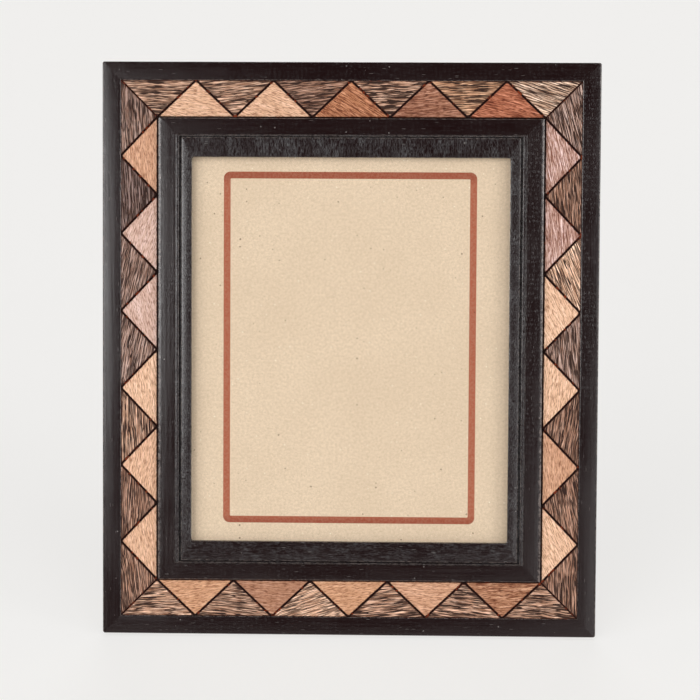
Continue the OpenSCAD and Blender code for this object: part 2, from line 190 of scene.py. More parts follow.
class Bench:
    """Places and joins the nodes of one node tree."""

    def __init__(self, tree: NodeTree) -> None:
        """Works on the given tree."""
        self.tree = tree

    def feed(self, socket: Socket, value: Value) -> None:
        """Gives a socket a value or joins it to another socket.

        Args:
            socket: The input to set.
            value: A plain value, or the output that feeds the input.
        """
        if isinstance(value, Socket):
            self.tree.links.new(value, socket)
        else:
            socket.default_value = value

    def node(self, kind: str, inputs: dict[Union[str, int], Value] | None = None,
             **settings: object) -> bpy.types.Node:
        """Adds a node.

        Args:
            kind: The node's Blender type.
            inputs: Values or outputs for its inputs, by name or number.
            **settings: The node's own properties.

        Returns:
            The new node.
        """
        made = self.tree.nodes.new(kind)
        for name, value in settings.items():
            setattr(made, name, value)
        for key, value in (inputs or {}).items():
            self.feed(made.inputs[key], value)
        return made

    def math(self, operation: str, first: Value, *others: Value) -> Socket:
        """Adds an operation on numbers.

        Args:
            operation: The Math node's operation.
            first: The first number.
            *others: The numbers that follow, taken in one after another.

        Returns:
            The result.
        """
        for other in others or (0.0,):
            step = self.node("ShaderNodeMath", {0: first, 1: other}, operation=operation)
            first = step.outputs[0]
        return first

    def plus(self, *values: Value) -> Socket:
        """Adds numbers up."""
        return self.math("ADD", *values)

    def minus(self, first: Value, second: Value) -> Socket:
        """Takes the second number from the first."""
        return self.math("SUBTRACT", first, second)

    def times(self, *values: Value) -> Socket:
        """Multiplies numbers."""
        return self.math("MULTIPLY", *values)

    def vector(self, operation: str, first: Value, second: Value) -> Socket:
        """Adds an operation on two vectors."""
        made = self.node("ShaderNodeVectorMath", {0: first, 1: second}, operation=operation)
        return made.outputs[0]

    def spread(self, value: Value, low: Value, high: Value, to_low: Value = 0.0,
               to_high: Value = 1.0, smooth: bool = True) -> Socket:
        """Stretches a range of numbers onto another, held at both ends.

        Args:
            value: The number to stretch.
            low: Where the range starts.
            high: Where the range ends.
            to_low: The result at the start.
            to_high: The result at the end.
            smooth: Whether the ends are eased.

        Returns:
            The stretched number.
        """
        ends = {0: value, 1: low, 2: high, 3: to_low, 4: to_high}
        curve = "SMOOTHSTEP" if smooth else "LINEAR"
        return self.node("ShaderNodeMapRange", ends, interpolation_type=curve).outputs[0]

    def mix(self, share: Value, first: Value, second: Value, blend: str = "MIX") -> Socket:
        """Mixes two colours.

        Args:
            share: How much of the second colour there is.
            first: The first colour.
            second: The second colour.
            blend: How the colours mix.

        Returns:
            The mixed colour.
        """
        made = self.node("ShaderNodeMix", data_type="RGBA", blend_type=blend, clamp_factor=True)
        for number, value in ((0, share), (6, first), (7, second)):
            self.feed(made.inputs[number], value)
        return made.outputs[2]

    def noise(self, place: Value, detail: float = 2.0, roughness: float = 0.5) -> Socket:
        """Adds a noise texture on coordinates that are already scaled.

        Args:
            place: The scaled coordinates.
            detail: Octaves of the noise.
            roughness: How strong the finer octaves are.

        Returns:
            The noise, mostly from 0.25 to 0.75.
        """
        inputs = {"Vector": place, "Scale": 1.0, "Detail": detail, "Roughness": roughness}
        return self.node("ShaderNodeTexNoise", inputs).outputs[0]


class EffectTree(Bench):
    """A shared effect in the making: its node group, with what it is given."""

    def __init__(self, name: str, output: str, **inputs: float) -> None:
        """Starts the group, with Place as its first input.

        Args:
            name: The group's name.
            output: The name of the number that it puts out.
            **inputs: Its other inputs with their starting values, among them Size, or Length
                and Width.
        """
        super().__init__(bpy.data.node_groups.new(name, "ShaderNodeTree"))
        socket = self.tree.interface.new_socket
        socket(name="Place", in_out="INPUT", socket_type="NodeSocketVector")
        for label, start in inputs.items():
            made = socket(name=label, in_out="INPUT", socket_type="NodeSocketFloat")
            made.default_value = start
        socket(name=output, in_out="OUTPUT", socket_type="NodeSocketFloat")
        self.given = self.node("NodeGroupInput").outputs
        self.result = self.node("NodeGroupOutput").inputs[0]
        length, width = ("Size", "Size") if "Size" in inputs else ("Length", "Width")
        spans = {0: self.given[length], 1: self.given[width], 2: self.given[width]}
        self.size = self.node("ShaderNodeCombineXYZ", spans).outputs[0]

    def sized(self, place: Socket | None = None) -> Socket:
        """Divides the group's own or another place by the effect's size."""
        return self.vector("DIVIDE", self.given["Place"] if place is None else place, self.size)

    def cells(self) -> tuple[Socket, Socket, Socket]:
        """Scatters points, one to a cell of the effect's size.

        Returns:
            The distance to the nearest point, and two random numbers that belong to it.
        """
        inputs = {"Vector": self.sized(), "Scale": 1.0}
        points = self.node("ShaderNodeTexVoronoi", inputs, voronoi_dimensions="3D").outputs
        drawn = self.node("ShaderNodeSeparateColor", {0: points["Color"]}).outputs
        return points["Distance"], drawn[0], drawn[1]

    def put_out(self, value: Socket) -> NodeTree:
        """Joins the group's output, and gives the finished group."""
        self.feed(self.result, value)
        return self.tree


@functools.cache
def long_grain() -> NodeTree:
    """Builds soft streaks along the grain.

    Returns:
        A group that puts out Streak, from 0 to 1.
    """
    effect = EffectTree("long_grain", "Streak", Length=20.0, Width=1.5)
    raw = effect.noise(effect.sized(), detail=3.0, roughness=0.6)
    return effect.put_out(effect.spread(raw, 0.28, 0.72, smooth=False))


@functools.cache
def soft_ripple() -> NodeTree:
    """Builds the smooth low ridges that a brush leaves.

    Returns:
        A group that puts out Height, from 0 to 1.
    """
    effect = EffectTree("soft_ripple", "Height", Length=70.0, Width=2.2)
    raw = effect.noise(effect.sized(), detail=0.5, roughness=0.4)
    return effect.put_out(effect.spread(raw, 0.2, 0.8, smooth=False))


@functools.cache
def tone_drift() -> NodeTree:
    """Builds a tone that drifts over a surface.

    Returns:
        A group that puts out Drift, from 0 to 1.
    """
    effect = EffectTree("tone_drift", "Drift", Size=30.0)
    raw = effect.noise(effect.sized(), detail=3.0, roughness=0.55)
    return effect.put_out(effect.spread(raw, 0.3, 0.7))


@functools.cache
def wavy_flecks() -> NodeTree:
    """Builds palm wood's dark strands, which wander along the grain.

    Returns:
        A group that puts out Strand, which is high in the middle of a strand.
    """
    effect = EffectTree("wavy_flecks", "Strand", Length=8.0, Width=1.1, Wander=1.0)
    place = effect.given["Place"]
    slow = effect.noise(effect.vector("DIVIDE", place, (13.0, 9.0, 9.0)), detail=1.0)
    shift = effect.times(effect.minus(slow, 0.5), effect.given["Wander"], 6.0)
    bent = effect.vector("ADD", place, effect.node("ShaderNodeCombineXYZ", {1: shift}).outputs[0])
    raw = effect.noise(effect.sized(bent), detail=0.3, roughness=0.4)
    return effect.put_out(effect.spread(raw, 0.25, 0.75, smooth=False))


@functools.cache
def grain_veins() -> NodeTree:
    """Builds thin continuous lines that follow the grain.

    Returns:
        A group that puts out Vein, 1 in the middle of a line.
    """
    effect = EffectTree("grain_veins", "Vein", Length=18.0, Width=2.2, Line=0.05)
    away = effect.math("ABSOLUTE", effect.minus(effect.noise(effect.sized()), 0.5))
    return effect.put_out(effect.spread(away, 0.0, effect.given["Line"], 1.0, 0.0))


@functools.cache
def fine_pores() -> NodeTree:
    """Builds short open pores along the grain.

    Returns:
        A group that puts out Pore, 1 inside a pore.
    """
    effect = EffectTree("fine_pores", "Pore", Length=2.4, Width=0.4, Share=0.4)
    away, drawn, _ = effect.cells()
    chosen = effect.math("LESS_THAN", drawn, effect.given["Share"])
    return effect.put_out(effect.times(effect.spread(away, 0.22, 0.4, 1.0, 0.0), chosen))


@functools.cache
def dust_specks() -> NodeTree:
    """Builds small specks that lie apart.

    Returns:
        A group that puts out Speck, 1 on a speck.
    """
    effect = EffectTree("dust_specks", "Speck", Size=3.0, Share=0.3)
    away, drawn, growth = effect.cells()
    chosen = effect.math("LESS_THAN", drawn, effect.given["Share"])
    radius = effect.spread(growth, 0.0, 1.0, 0.04, 0.15, smooth=False)
    return effect.put_out(effect.times(effect.math("LESS_THAN", away, radius), chosen))


@functools.cache
def rubbed_edge() -> NodeTree:
    """Builds the traces of handling on arrises, ragged where the finish is thin; on the lacquer
    they also carry painted arris highlight.

    Returns:
        A group that puts out Worn, 1 where an arris is rubbed.
    """
    effect = EffectTree("rubbed_edge", "Worn", Edge=0.0, Size=2.0, Amount=0.5)
    ragged = effect.noise(effect.sized(), detail=4.0, roughness=0.65)
    nearness = effect.plus(effect.given["Edge"], effect.times(effect.minus(ragged, 0.5), 1.4))
    start = effect.minus(1.15, effect.given["Amount"])
    return effect.put_out(effect.spread(nearness, start, effect.plus(start, 0.3)))


class Coat(Bench):
    """A material in the making, with the colour and the relief that its layers have built."""

    def __init__(self, name: str, ground: Value, own_piece: bool = True) -> None:
        """Starts the material with a Principled BSDF.

        Args:
            name: The material's name.
            ground: Its colour under all layers. A wood takes it from its own tiles.
            own_piece: Whether the piece carries grain places. A CAD node reads object places.
        """
        self.material = bpy.data.materials.new(name)
        self.material.use_nodes = True
        super().__init__(self.material.node_tree)
        self.tree.nodes.clear()
        self.shader = self.node("ShaderNodeBsdfPrincipled")
        self.output = self.node("ShaderNodeOutputMaterial", {"Surface": self.shader.outputs[0]})
        self.colour = ground
        self.normal: Socket | None = None
        if own_piece:
            self.place = self.attribute("grain")["Vector"]
        else:
            mapped = self.node("ShaderNodeTexCoord").outputs["Object"]
            self.place = self.vector("MULTIPLY", mapped, (1 / MM, 1 / MM, 1 / MM))

    def attribute(self, name: str) -> bpy.types.NodeOutputs:
        """Reads one of the piece's own values."""
        kind = "ShaderNodeAttribute"
        return self.node(kind, attribute_name=name, attribute_type="GEOMETRY").outputs

    def effect(self, group: Callable[[], NodeTree], shift: Spot | None = None,
               **inputs: Value) -> Socket:
        """Adds a shared effect.

        Args:
            group: The function that builds the effect's group.
            shift: How far it is moved, to differ from another of its kind.
            **inputs: The effect's inputs, other than its place.

        Returns:
            What it puts out.
        """
        place = self.place if shift is None else self.vector("ADD", self.place, shift)
        made = self.node("ShaderNodeGroup", {"Place": place, **inputs}, node_tree=group())
        return made.outputs[0]

    def rubbed(self, size: float, amount: float) -> Socket:
        """Adds the traces of handling on the piece's own arrises, which on the lacquer also carry
        painted arris highlight.
        """
        edge = self.attribute("edge")["Fac"]
        return self.effect(rubbed_edge, Edge=edge, Size=size, Amount=amount)

    def lay(self, share: Value, colour: Value, strength: float = 1.0, blend: str = "MIX") -> None:
        """Lays a colour over the layers so far.

        Args:
            share: How much of it there is at each point.
            colour: The colour.
            strength: How much of it there is where the share is 1.
            blend: How it mixes with what lies under it.
        """
        cover = share if strength == 1.0 else self.times(share, strength)
        self.colour = self.mix(cover, self.colour, colour, blend)

    def tint(self, share: Value, colour: Colour) -> None:
        """Multiplies the layers so far by a colour."""
        self.lay(share, colour, blend="MULTIPLY")

    def relief(self, height: Value, depth: float, sunk: bool = False) -> None:
        """Adds relief over the relief so far.

        Args:
            height: Its height from 0 to 1.
            depth: What a height of 1 stands for, in millimetres.
            sunk: Whether it goes into the surface.
        """
        height = self.times(height, -1.0) if sunk else height
        inputs = {"Height": height, "Distance": depth * MM, "Strength": 1.0}
        if self.normal is not None:
            inputs["Normal"] = self.normal
        self.normal = self.node("ShaderNodeBump", inputs).outputs[0]

    def finish(self, roughness: Value, **values: Value) -> Material:
        """Gives the shader its colour, its relief and its other values.

        Args:
            roughness: The roughness.
            **values: Other inputs, with a low line for each space in a name.

        Returns:
            The finished material.
        """
        values |= {"Base_Color": self.colour, "Roughness": roughness}
        if self.normal is not None:
            values["Normal"] = self.normal
        for name, value in values.items():
            self.feed(self.shader.inputs[name.replace("_", " ")], value)
        return self.material


# Finishes


@dataclass(frozen=True)
class BlackLacquer:
    """Satin black lacquer over open-grained wood, brushed along the grain.

    Attributes:
        wear_and_highlight: How far the arrises are rubbed down to the bare wood, whose pale grey
            is partly painted arris highlight.
        dustiness: Share of the places that hold a speck of dust.
        haze_and_sheen_share: How much grey is laid, partly the haze that sanding leaves and partly
            painted sheen.
        stroke: Length and width of the sanding strokes.
        brushing: How far the brush marks draw out its gloss.
    """

    name: str = "black_lacquer"
    deep: Colour = srgb(24, 9, 9)
    thin: Colour = srgb(33, 20, 19)
    # Pale grey of the rubbed arrises: partly bare wood, partly painted arris highlight.
    bare: Colour = srgb(110, 99, 94)
    dust: Colour = srgb(150, 146, 142)
    # Grey of the sanding haze, which also serves as painted sheen.
    haze_and_sheen: Colour = srgb(112, 112, 113)
    wear_and_highlight: float = 0.36
    dustiness: float = 0.08
    haze_and_sheen_share: float = 0.0
    stroke: Pair = (0.9, 9.0)
    roughness: float = 0.13
    brushing: float = 0.5

    def sanding(self, coat: Coat) -> Socket:
        """Adds the marks of sanding, gathered in clouds, which also carry painted sheen.

        Args:
            coat: The material in the making.

        Returns:
            How hazy each point is, with its painted sheen.
        """
        length, width = self.stroke
        strokes = coat.effect(long_grain, Length=length, Width=width)
        grit = coat.effect(long_grain, Length=length / 2, Width=width / 2)
        clouds = coat.effect(tone_drift, Size=13.0)
        return coat.times(coat.spread(strokes, 0.15, 1.0), coat.spread(clouds, 0.0, 1.0, 0.3, 0.9),
                          coat.spread(grit, 0.35, 0.75, 0.45, 1.3))

    def material(self) -> Material:
        """Builds the material.

        Returns:
            The finished material.
        """
        coat = Coat(self.name, self.deep)
        brush = coat.effect(long_grain, Length=46.0, Width=0.7)
        bands = coat.effect(long_grain, Length=120.0, Width=4.5)
        drift = coat.effect(tone_drift, Size=38.0)
        pores = coat.effect(fine_pores, Length=3.4, Width=0.35, Share=0.35)
        specks = coat.effect(dust_specks, Size=3.6, Share=self.dustiness)
        scuffs = coat.effect(fine_pores, (70.0, 33.0, 21.0), Length=5.0, Width=0.5, Share=0.02)
        ripple = coat.effect(soft_ripple, Length=70.0, Width=2.2)
        peel = coat.effect(tone_drift, Size=1.1)
        coat.lay(coat.times(brush, bands, drift), self.thin)
        # Grey haze: partly sanding marks, partly painted sheen.
        if self.haze_and_sheen_share:
            coat.lay(self.sanding(coat), self.haze_and_sheen, self.haze_and_sheen_share)
        coat.lay(scuffs, self.dust, 0.25)
        # Rubbed arrises in pale grey: partly real wear, partly painted arris highlight.
        coat.lay(coat.rubbed(2.6, self.wear_and_highlight), self.bare, 0.8)
        coat.lay(specks, self.dust, 0.5)
        coat.relief(pores, 0.02, sunk=True)
        for height, depth in ((brush, 0.008), (ripple, 0.035), (peel, 0.02)):
            coat.relief(height, depth)
        sheen = coat.plus(coat.times(brush, 0.1), coat.times(drift, 0.05), self.roughness)
        return coat.finish(sheen, Specular_IOR_Level=0.43, Anisotropic=self.brushing,
                           Tangent=coat.attribute("across")["Vector"])


@dataclass(frozen=True)
class PalmWood:
    """Varnished palm wood: a tan ground with dark strands and pale streaks of painted sheen, which
    each tile's own values vary.

    Attributes:
        crowding: What a strand's height must reach to show, in a tile of no and of full figure.
    """

    name: str = "palm_wood"
    shade: Colour = (0.8, 0.74, 0.7, 1.0)
    painted_gleam: Colour = (1.66, 1.82, 1.98, 1.0)
    hair: Colour = (0.38, 0.28, 0.22, 1.0)
    strand: Colour = srgb(38, 19, 12)
    halo: Colour = srgb(118, 70, 44)
    joint_stain: Colour = srgb(62, 26, 15)
    crowding: Pair = (0.86, 0.52)
    roughness: float = 0.42

    def material(self) -> Material:
        """Builds the material.

        Returns:
            The finished material.
        """
        coat = Coat(self.name, self.strand)
        tone = coat.attribute("tone")
        drift = coat.effect(tone_drift, Size=8.0)
        # Streaks of painted sheen.
        pale = coat.effect(long_grain, (50.0, 90.0, 10.0), Length=11.0, Width=0.8)
        hairs = coat.effect(long_grain, Length=16.0, Width=0.6)
        thin = coat.effect(wavy_flecks, Length=20.0, Width=0.65, Wander=0.4)
        bold = coat.effect(wavy_flecks, (7.0, 30.0, 90.0), Length=13.0, Width=1.05, Wander=0.4)
        slits = coat.effect(fine_pores, Length=8.0, Width=0.8, Share=0.3)
        veins = coat.effect(grain_veins, Length=34.0, Width=1.7, Line=0.075)
        strands = coat.math("MAXIMUM", thin, coat.minus(bold, 0.12))
        low = coat.spread(tone["Alpha"], 0.0, 1.0, *self.crowding, smooth=False)
        halo = coat.spread(strands, coat.minus(low, 0.08), low)
        core = coat.spread(strands, low, coat.plus(low, 0.04))
        coat.colour = tone["Color"]
        coat.tint(drift, self.shade)
        # Painted sheen: pale bluish-white streaks that stand in for the varnish's highlights.
        coat.tint(coat.spread(pale, 0.38, 0.78), self.painted_gleam)
        coat.tint(coat.spread(hairs, 0.4, 0.75), self.hair)
        coat.lay(halo, self.halo, 0.55)
        coat.lay(coat.math("MAXIMUM", core, slits, coat.times(veins, 0.92)), self.strand, 0.97)
        coat.lay(coat.rubbed(1.8, 0.62), self.joint_stain, 0.92)
        coat.relief(hairs, 0.03)
        coat.relief(halo, 0.05, sunk=True)
        rough = coat.spread(core, 0.0, 1.0, self.roughness, self.roughness + 0.14)
        return coat.finish(rough, Specular_IOR_Level=0.18, Coat_Weight=0.05, Coat_Roughness=0.2)


@dataclass(frozen=True)
class LightWood:
    """Varnished light wood with short pores, streaks and whitish streaks of painted sheen, which
    each tile's own values vary.
    """

    name: str = "light_wood"
    band: Colour = (0.62, 0.5, 0.44, 1.0)
    streak: Colour = (0.66, 0.54, 0.48, 1.0)
    fibre: Colour = (0.46, 0.36, 0.31, 1.0)
    painted_gleam: Colour = (1.42, 1.62, 1.84, 1.0)
    mark: Colour = (0.42, 0.28, 0.22, 1.0)
    dash: Colour = (0.55, 0.42, 0.36, 1.0)
    joint_stain: Colour = srgb(66, 26, 14)
    roughness: float = 0.42

    def material(self) -> Material:
        """Builds the material.

        Returns:
            The finished material.
        """
        coat = Coat(self.name, self.joint_stain)
        tone = coat.attribute("tone")
        figure = tone["Alpha"]
        bands = coat.effect(long_grain, Length=34.0, Width=4.6)
        streaks = coat.effect(long_grain, Length=16.0, Width=1.3)
        fibres = coat.effect(long_grain, Length=5.0, Width=0.7)
        painted_shine = coat.effect(long_grain, (40.0, 20.0, 60.0), Length=12.0, Width=0.85)
        marks = coat.effect(long_grain, (15.0, 75.0, 30.0), Length=12.0, Width=0.75)
        pores = coat.effect(fine_pores, Length=4.2, Width=1.1, Share=0.5)
        marked = coat.minus(coat.times(figure, 1.5), 0.2)
        coat.colour = tone["Color"]
        coat.tint(coat.times(bands, figure), self.band)
        coat.tint(coat.times(coat.spread(streaks, 0.35, 0.9), coat.plus(figure, 0.2)), self.streak)
        coat.tint(coat.spread(fibres, 0.42, 0.8), self.fibre)
        # Painted sheen: whitish streaks that stand in for the varnish's reflections, more on tiles
        # of strong figure.
        coat.tint(coat.times(coat.spread(painted_shine, 0.45, 0.85), coat.plus(figure, 0.5)), self.painted_gleam)
        coat.tint(coat.times(coat.spread(marks, 0.45, 0.7), marked), self.mark)
        coat.tint(coat.times(pores, coat.plus(figure, 0.35)), self.dash)
        coat.lay(coat.rubbed(1.6, 0.6), self.joint_stain, 0.92)
        coat.relief(fibres, 0.02)
        coat.relief(pores, 0.04, sunk=True)
        rough = coat.spread(fibres, 0.0, 1.0, self.roughness - 0.05, self.roughness + 0.1,
                            smooth=False)
        return coat.finish(rough, Specular_IOR_Level=0.18, Coat_Weight=0.05, Coat_Roughness=0.2)


@dataclass(frozen=True)
class JointFiller:
    """Dark glue and lacquer in the joints, reddish where it is thin."""

    name: str = "joint_filler"
    dark: Colour = srgb(26, 9, 6)
    red: Colour = srgb(122, 50, 26)

    def material(self) -> Material:
        """Builds the material.

        Returns:
            The finished material.
        """
        coat = Coat(self.name, self.dark)
        drift = coat.effect(tone_drift, Size=4.5)
        grit = coat.effect(tone_drift, Size=0.6)
        coat.lay(coat.spread(drift, 0.72, 0.98), self.red)
        coat.relief(grit, 0.15)
        return coat.finish(coat.spread(grit, 0.0, 1.0, 0.5, 0.8), Specular_IOR_Level=0.08)


@dataclass(frozen=True)
class RawRailBack:
    """The rails' bare wood at the back, with black overspray that fades in from the edges."""

    name: str = "raw_rail_back"
    wood: Colour = srgb(142, 104, 74)
    grain: Colour = srgb(98, 66, 44)
    spray: Colour = srgb(27, 22, 21)

    def material(self) -> Material:
        """Builds the material.

        Returns:
            The finished material.
        """
        coat = Coat(self.name, self.wood)
        streaks = coat.effect(long_grain, Length=40.0, Width=1.6)
        bands = coat.effect(long_grain, Length=110.0, Width=7.0)
        pores = coat.effect(fine_pores, Length=3.5, Width=0.45, Share=0.5)
        reach = coat.attribute("edge")["Fac"]
        for size in (34.0, 1.1):
            ragged = coat.minus(coat.effect(tone_drift, Size=size), 0.5)
            reach = coat.plus(reach, coat.times(ragged, 0.3))
        spray = coat.spread(reach, 0.15, 0.95)
        coat.lay(coat.times(streaks, bands), self.grain)
        coat.lay(pores, self.grain, 0.6)
        coat.lay(spray, self.spray)
        coat.relief(streaks, 0.06)
        coat.relief(pores, 0.08, sunk=True)
        return coat.finish(coat.spread(spray, 0.0, 1.0, 0.75, 0.5))


@dataclass(frozen=True)
class KraftCard:
    """Kraft card with flecks and fibres, plain or under the printed border line.

    Attributes:
        darker_from: How far above and below its middle the ink grows darker.
        darker_over: Over how many millimetres it does so.
    """

    name: str = "kraft_card"
    ground: Colour = srgb(236, 211, 185)
    warm: Colour = srgb(206, 180, 153)
    dark_fleck: Colour = srgb(96, 66, 48)
    pale_fleck: Colour = srgb(246, 234, 216)
    ink: Colour = srgb(168, 92, 68)
    darker_end_ink: Colour = srgb(152, 76, 54)
    darker_from: float = 126.0
    darker_over: float = 6.0
    printed: bool = False

    def material(self) -> Material:
        """Builds the material.

        Returns:
            The finished material.
        """
        coat = Coat(self.name, self.ground)
        drift = coat.effect(tone_drift, Size=60.0)
        mottle = coat.effect(tone_drift, Size=1.8)
        fibres = coat.effect(long_grain, Length=3.0, Width=0.8)
        dark = coat.effect(dust_specks, Size=5.0, Share=0.16)
        faint = coat.effect(dust_specks, (90.0, 60.0, 10.0), Size=2.2, Share=0.55)
        pale = coat.effect(dust_specks, (310.0, 170.0, 40.0), Size=3.6, Share=0.3)
        for share, colour, strength in ((drift, self.warm, 0.25), (mottle, self.warm, 0.6),
                                        (fibres, self.warm, 0.35), (faint, self.dark_fleck, 0.35),
                                        (pale, self.pale_fleck, 0.8)):
            coat.lay(share, colour, strength)
        if self.printed:
            upwards = coat.node("ShaderNodeSeparateXYZ", {0: coat.place}).outputs[1]
            # The ink is darker along the line's top and bottom lengths.
            darker_ends = coat.spread(coat.math("ABSOLUTE", upwards), self.darker_from,
                                self.darker_from + self.darker_over)
            coat.lay(coat.spread(mottle, 0.0, 1.0, 1.0, 0.9),
                     coat.mix(darker_ends, self.ink, self.darker_end_ink))
        coat.lay(dark, self.dark_fleck, 0.75)
        coat.relief(fibres, 0.015)
        rough = coat.spread(fibres, 0.0, 1.0, 0.78, 0.95, smooth=False)
        return coat.finish(rough, Specular_IOR_Level=0.2)


@dataclass(frozen=True)
class ClearGlass:
    """Thin picture glass that lets lamps and bounced light through."""

    name: str = "clear_glass"
    tint: Colour = (0.985, 0.995, 0.99, 1.0)

    def material(self) -> Material:
        """Builds the material.

        Returns:
            The finished material.
        """
        coat = Coat(self.name, self.tint, own_piece=False)
        coat.relief(coat.effect(tone_drift, Size=60.0), 0.004)
        path = coat.node("ShaderNodeLightPath").outputs
        soft = coat.math("MAXIMUM", path["Is Shadow Ray"], path["Is Diffuse Ray"])
        clear = coat.node("ShaderNodeBsdfTransparent", {"Color": self.tint}).outputs[0]
        both = coat.node("ShaderNodeMixShader", {0: soft, 1: coat.shader.outputs[0], 2: clear})
        coat.feed(coat.output.inputs["Surface"], both.outputs[0])
        return coat.finish(0.0, IOR=1.5, Transmission_Weight=1.0)


@dataclass(frozen=True)
class PressedBoard:
    """Pressed board, such as the backing, the filler and the painted leg."""

    name: str
    ground: Colour
    dark: Colour
    fleck: Colour
    roughness: float
    dimple: float

    def material(self) -> Material:
        """Builds the material.

        Returns:
            The finished material.
        """
        coat = Coat(self.name, self.ground, own_piece=False)
        drift = coat.effect(tone_drift, Size=45.0)
        mottle = coat.effect(tone_drift, Size=2.2)
        specks = coat.effect(dust_specks, Size=3.4, Share=0.35)
        fibres = coat.effect(long_grain, Length=5.0, Width=0.6)
        for share, colour, strength in ((drift, self.dark, 1.0), (mottle, self.dark, 0.4),
                                        (fibres, self.fleck, 0.22), (specks, self.fleck, 0.6)):
            coat.lay(share, colour, strength)
        coat.relief(fibres, self.dimple * 0.6)
        coat.relief(mottle, self.dimple)
        rough = coat.spread(mottle, 0.0, 1.0, self.roughness - 0.08, self.roughness + 0.1)
        return coat.finish(rough, Specular_IOR_Level=0.3)


@dataclass(frozen=True)
class PlatedMetal:
    """Plated fittings with fine scratches, dull patches and tarnished spots and patches."""

    name: str
    bright: Colour
    dull: Colour
    tarnish: Colour
    roughness: float

    def material(self) -> Material:
        """Builds the material.

        Returns:
            The finished material.
        """
        coat = Coat(self.name, self.bright, own_piece=False)
        drift = coat.effect(tone_drift, Size=9.0)
        mottle = coat.effect(tone_drift, Size=1.4)
        scratches = coat.effect(long_grain, Length=12.0, Width=0.16)
        spots = coat.effect(dust_specks, Size=2.6, Share=0.3)
        coat.lay(drift, self.dull)
        coat.lay(spots, self.tarnish, 0.7)
        coat.lay(coat.spread(mottle, 0.6, 1.0, 0.0, 0.5), self.tarnish)
        coat.relief(mottle, 0.01)
        coat.relief(scratches, 0.006)
        rough = coat.plus(coat.times(drift, 0.14), coat.times(scratches, 0.12),
                          self.roughness - 0.1)
        return coat.finish(rough, Metallic=1.0)


@dataclass(frozen=True)
class StudioFloor:
    """The plain pale floor.

    Attributes:
        seen_glow: How bright the camera sees it by itself.
        bounced_glow: How bright it is to the object.
    """

    name: str = "studio_floor"
    pale: Colour = srgb(140, 139, 138)
    seen_glow: float = 0.8
    bounced_glow: float = 0.6

    def material(self) -> Material:
        """Builds the material.

        Returns:
            The finished material.
        """
        coat = Coat(self.name, self.pale, own_piece=False)
        seen = coat.node("ShaderNodeLightPath").outputs["Is Camera Ray"]
        glow = coat.spread(seen, 0.0, 1.0, self.bounced_glow, self.seen_glow, smooth=False)
        return coat.finish(0.9, Specular_IOR_Level=0.0, Emission_Color=BACKDROP,
                           Emission_Strength=glow)


# Meshes


def turned(side: Side, along: np.ndarray, inward: np.ndarray, depth: np.ndarray,
           half: float) -> np.ndarray:
    """Places points of one side in the upright frame.

    Args:
        side: The side that the points are on.
        along: Distance from the side's middle, in the frame's counter-clockwise direction.
        inward: Distance from the outline's edge towards the middle.
        depth: Distance from the frame's back.
        half: Distance of the outline's edge from the frame's middle.

    Returns:
        The places, with a last axis of x, y and z.
    """
    x, z = along, inward - half
    for _ in range(side.value):
        x, z = -z, x
    return np.stack([x, -depth, z], axis=-1)


def unit(run: np.ndarray) -> np.ndarray:
    """Gives a vector of length 1 in the same direction."""
    return run / np.linalg.norm(run)


def place_in_scene(name: str, data: bpy.types.ID) -> bpy.types.Object:
    """Adds an object to the scene.

    Args:
        name: Its name.
        data: Its mesh, light or camera.

    Returns:
        The new object.
    """
    made = bpy.data.objects.new(name, data)
    bpy.context.scene.collection.objects.link(made)
    return made


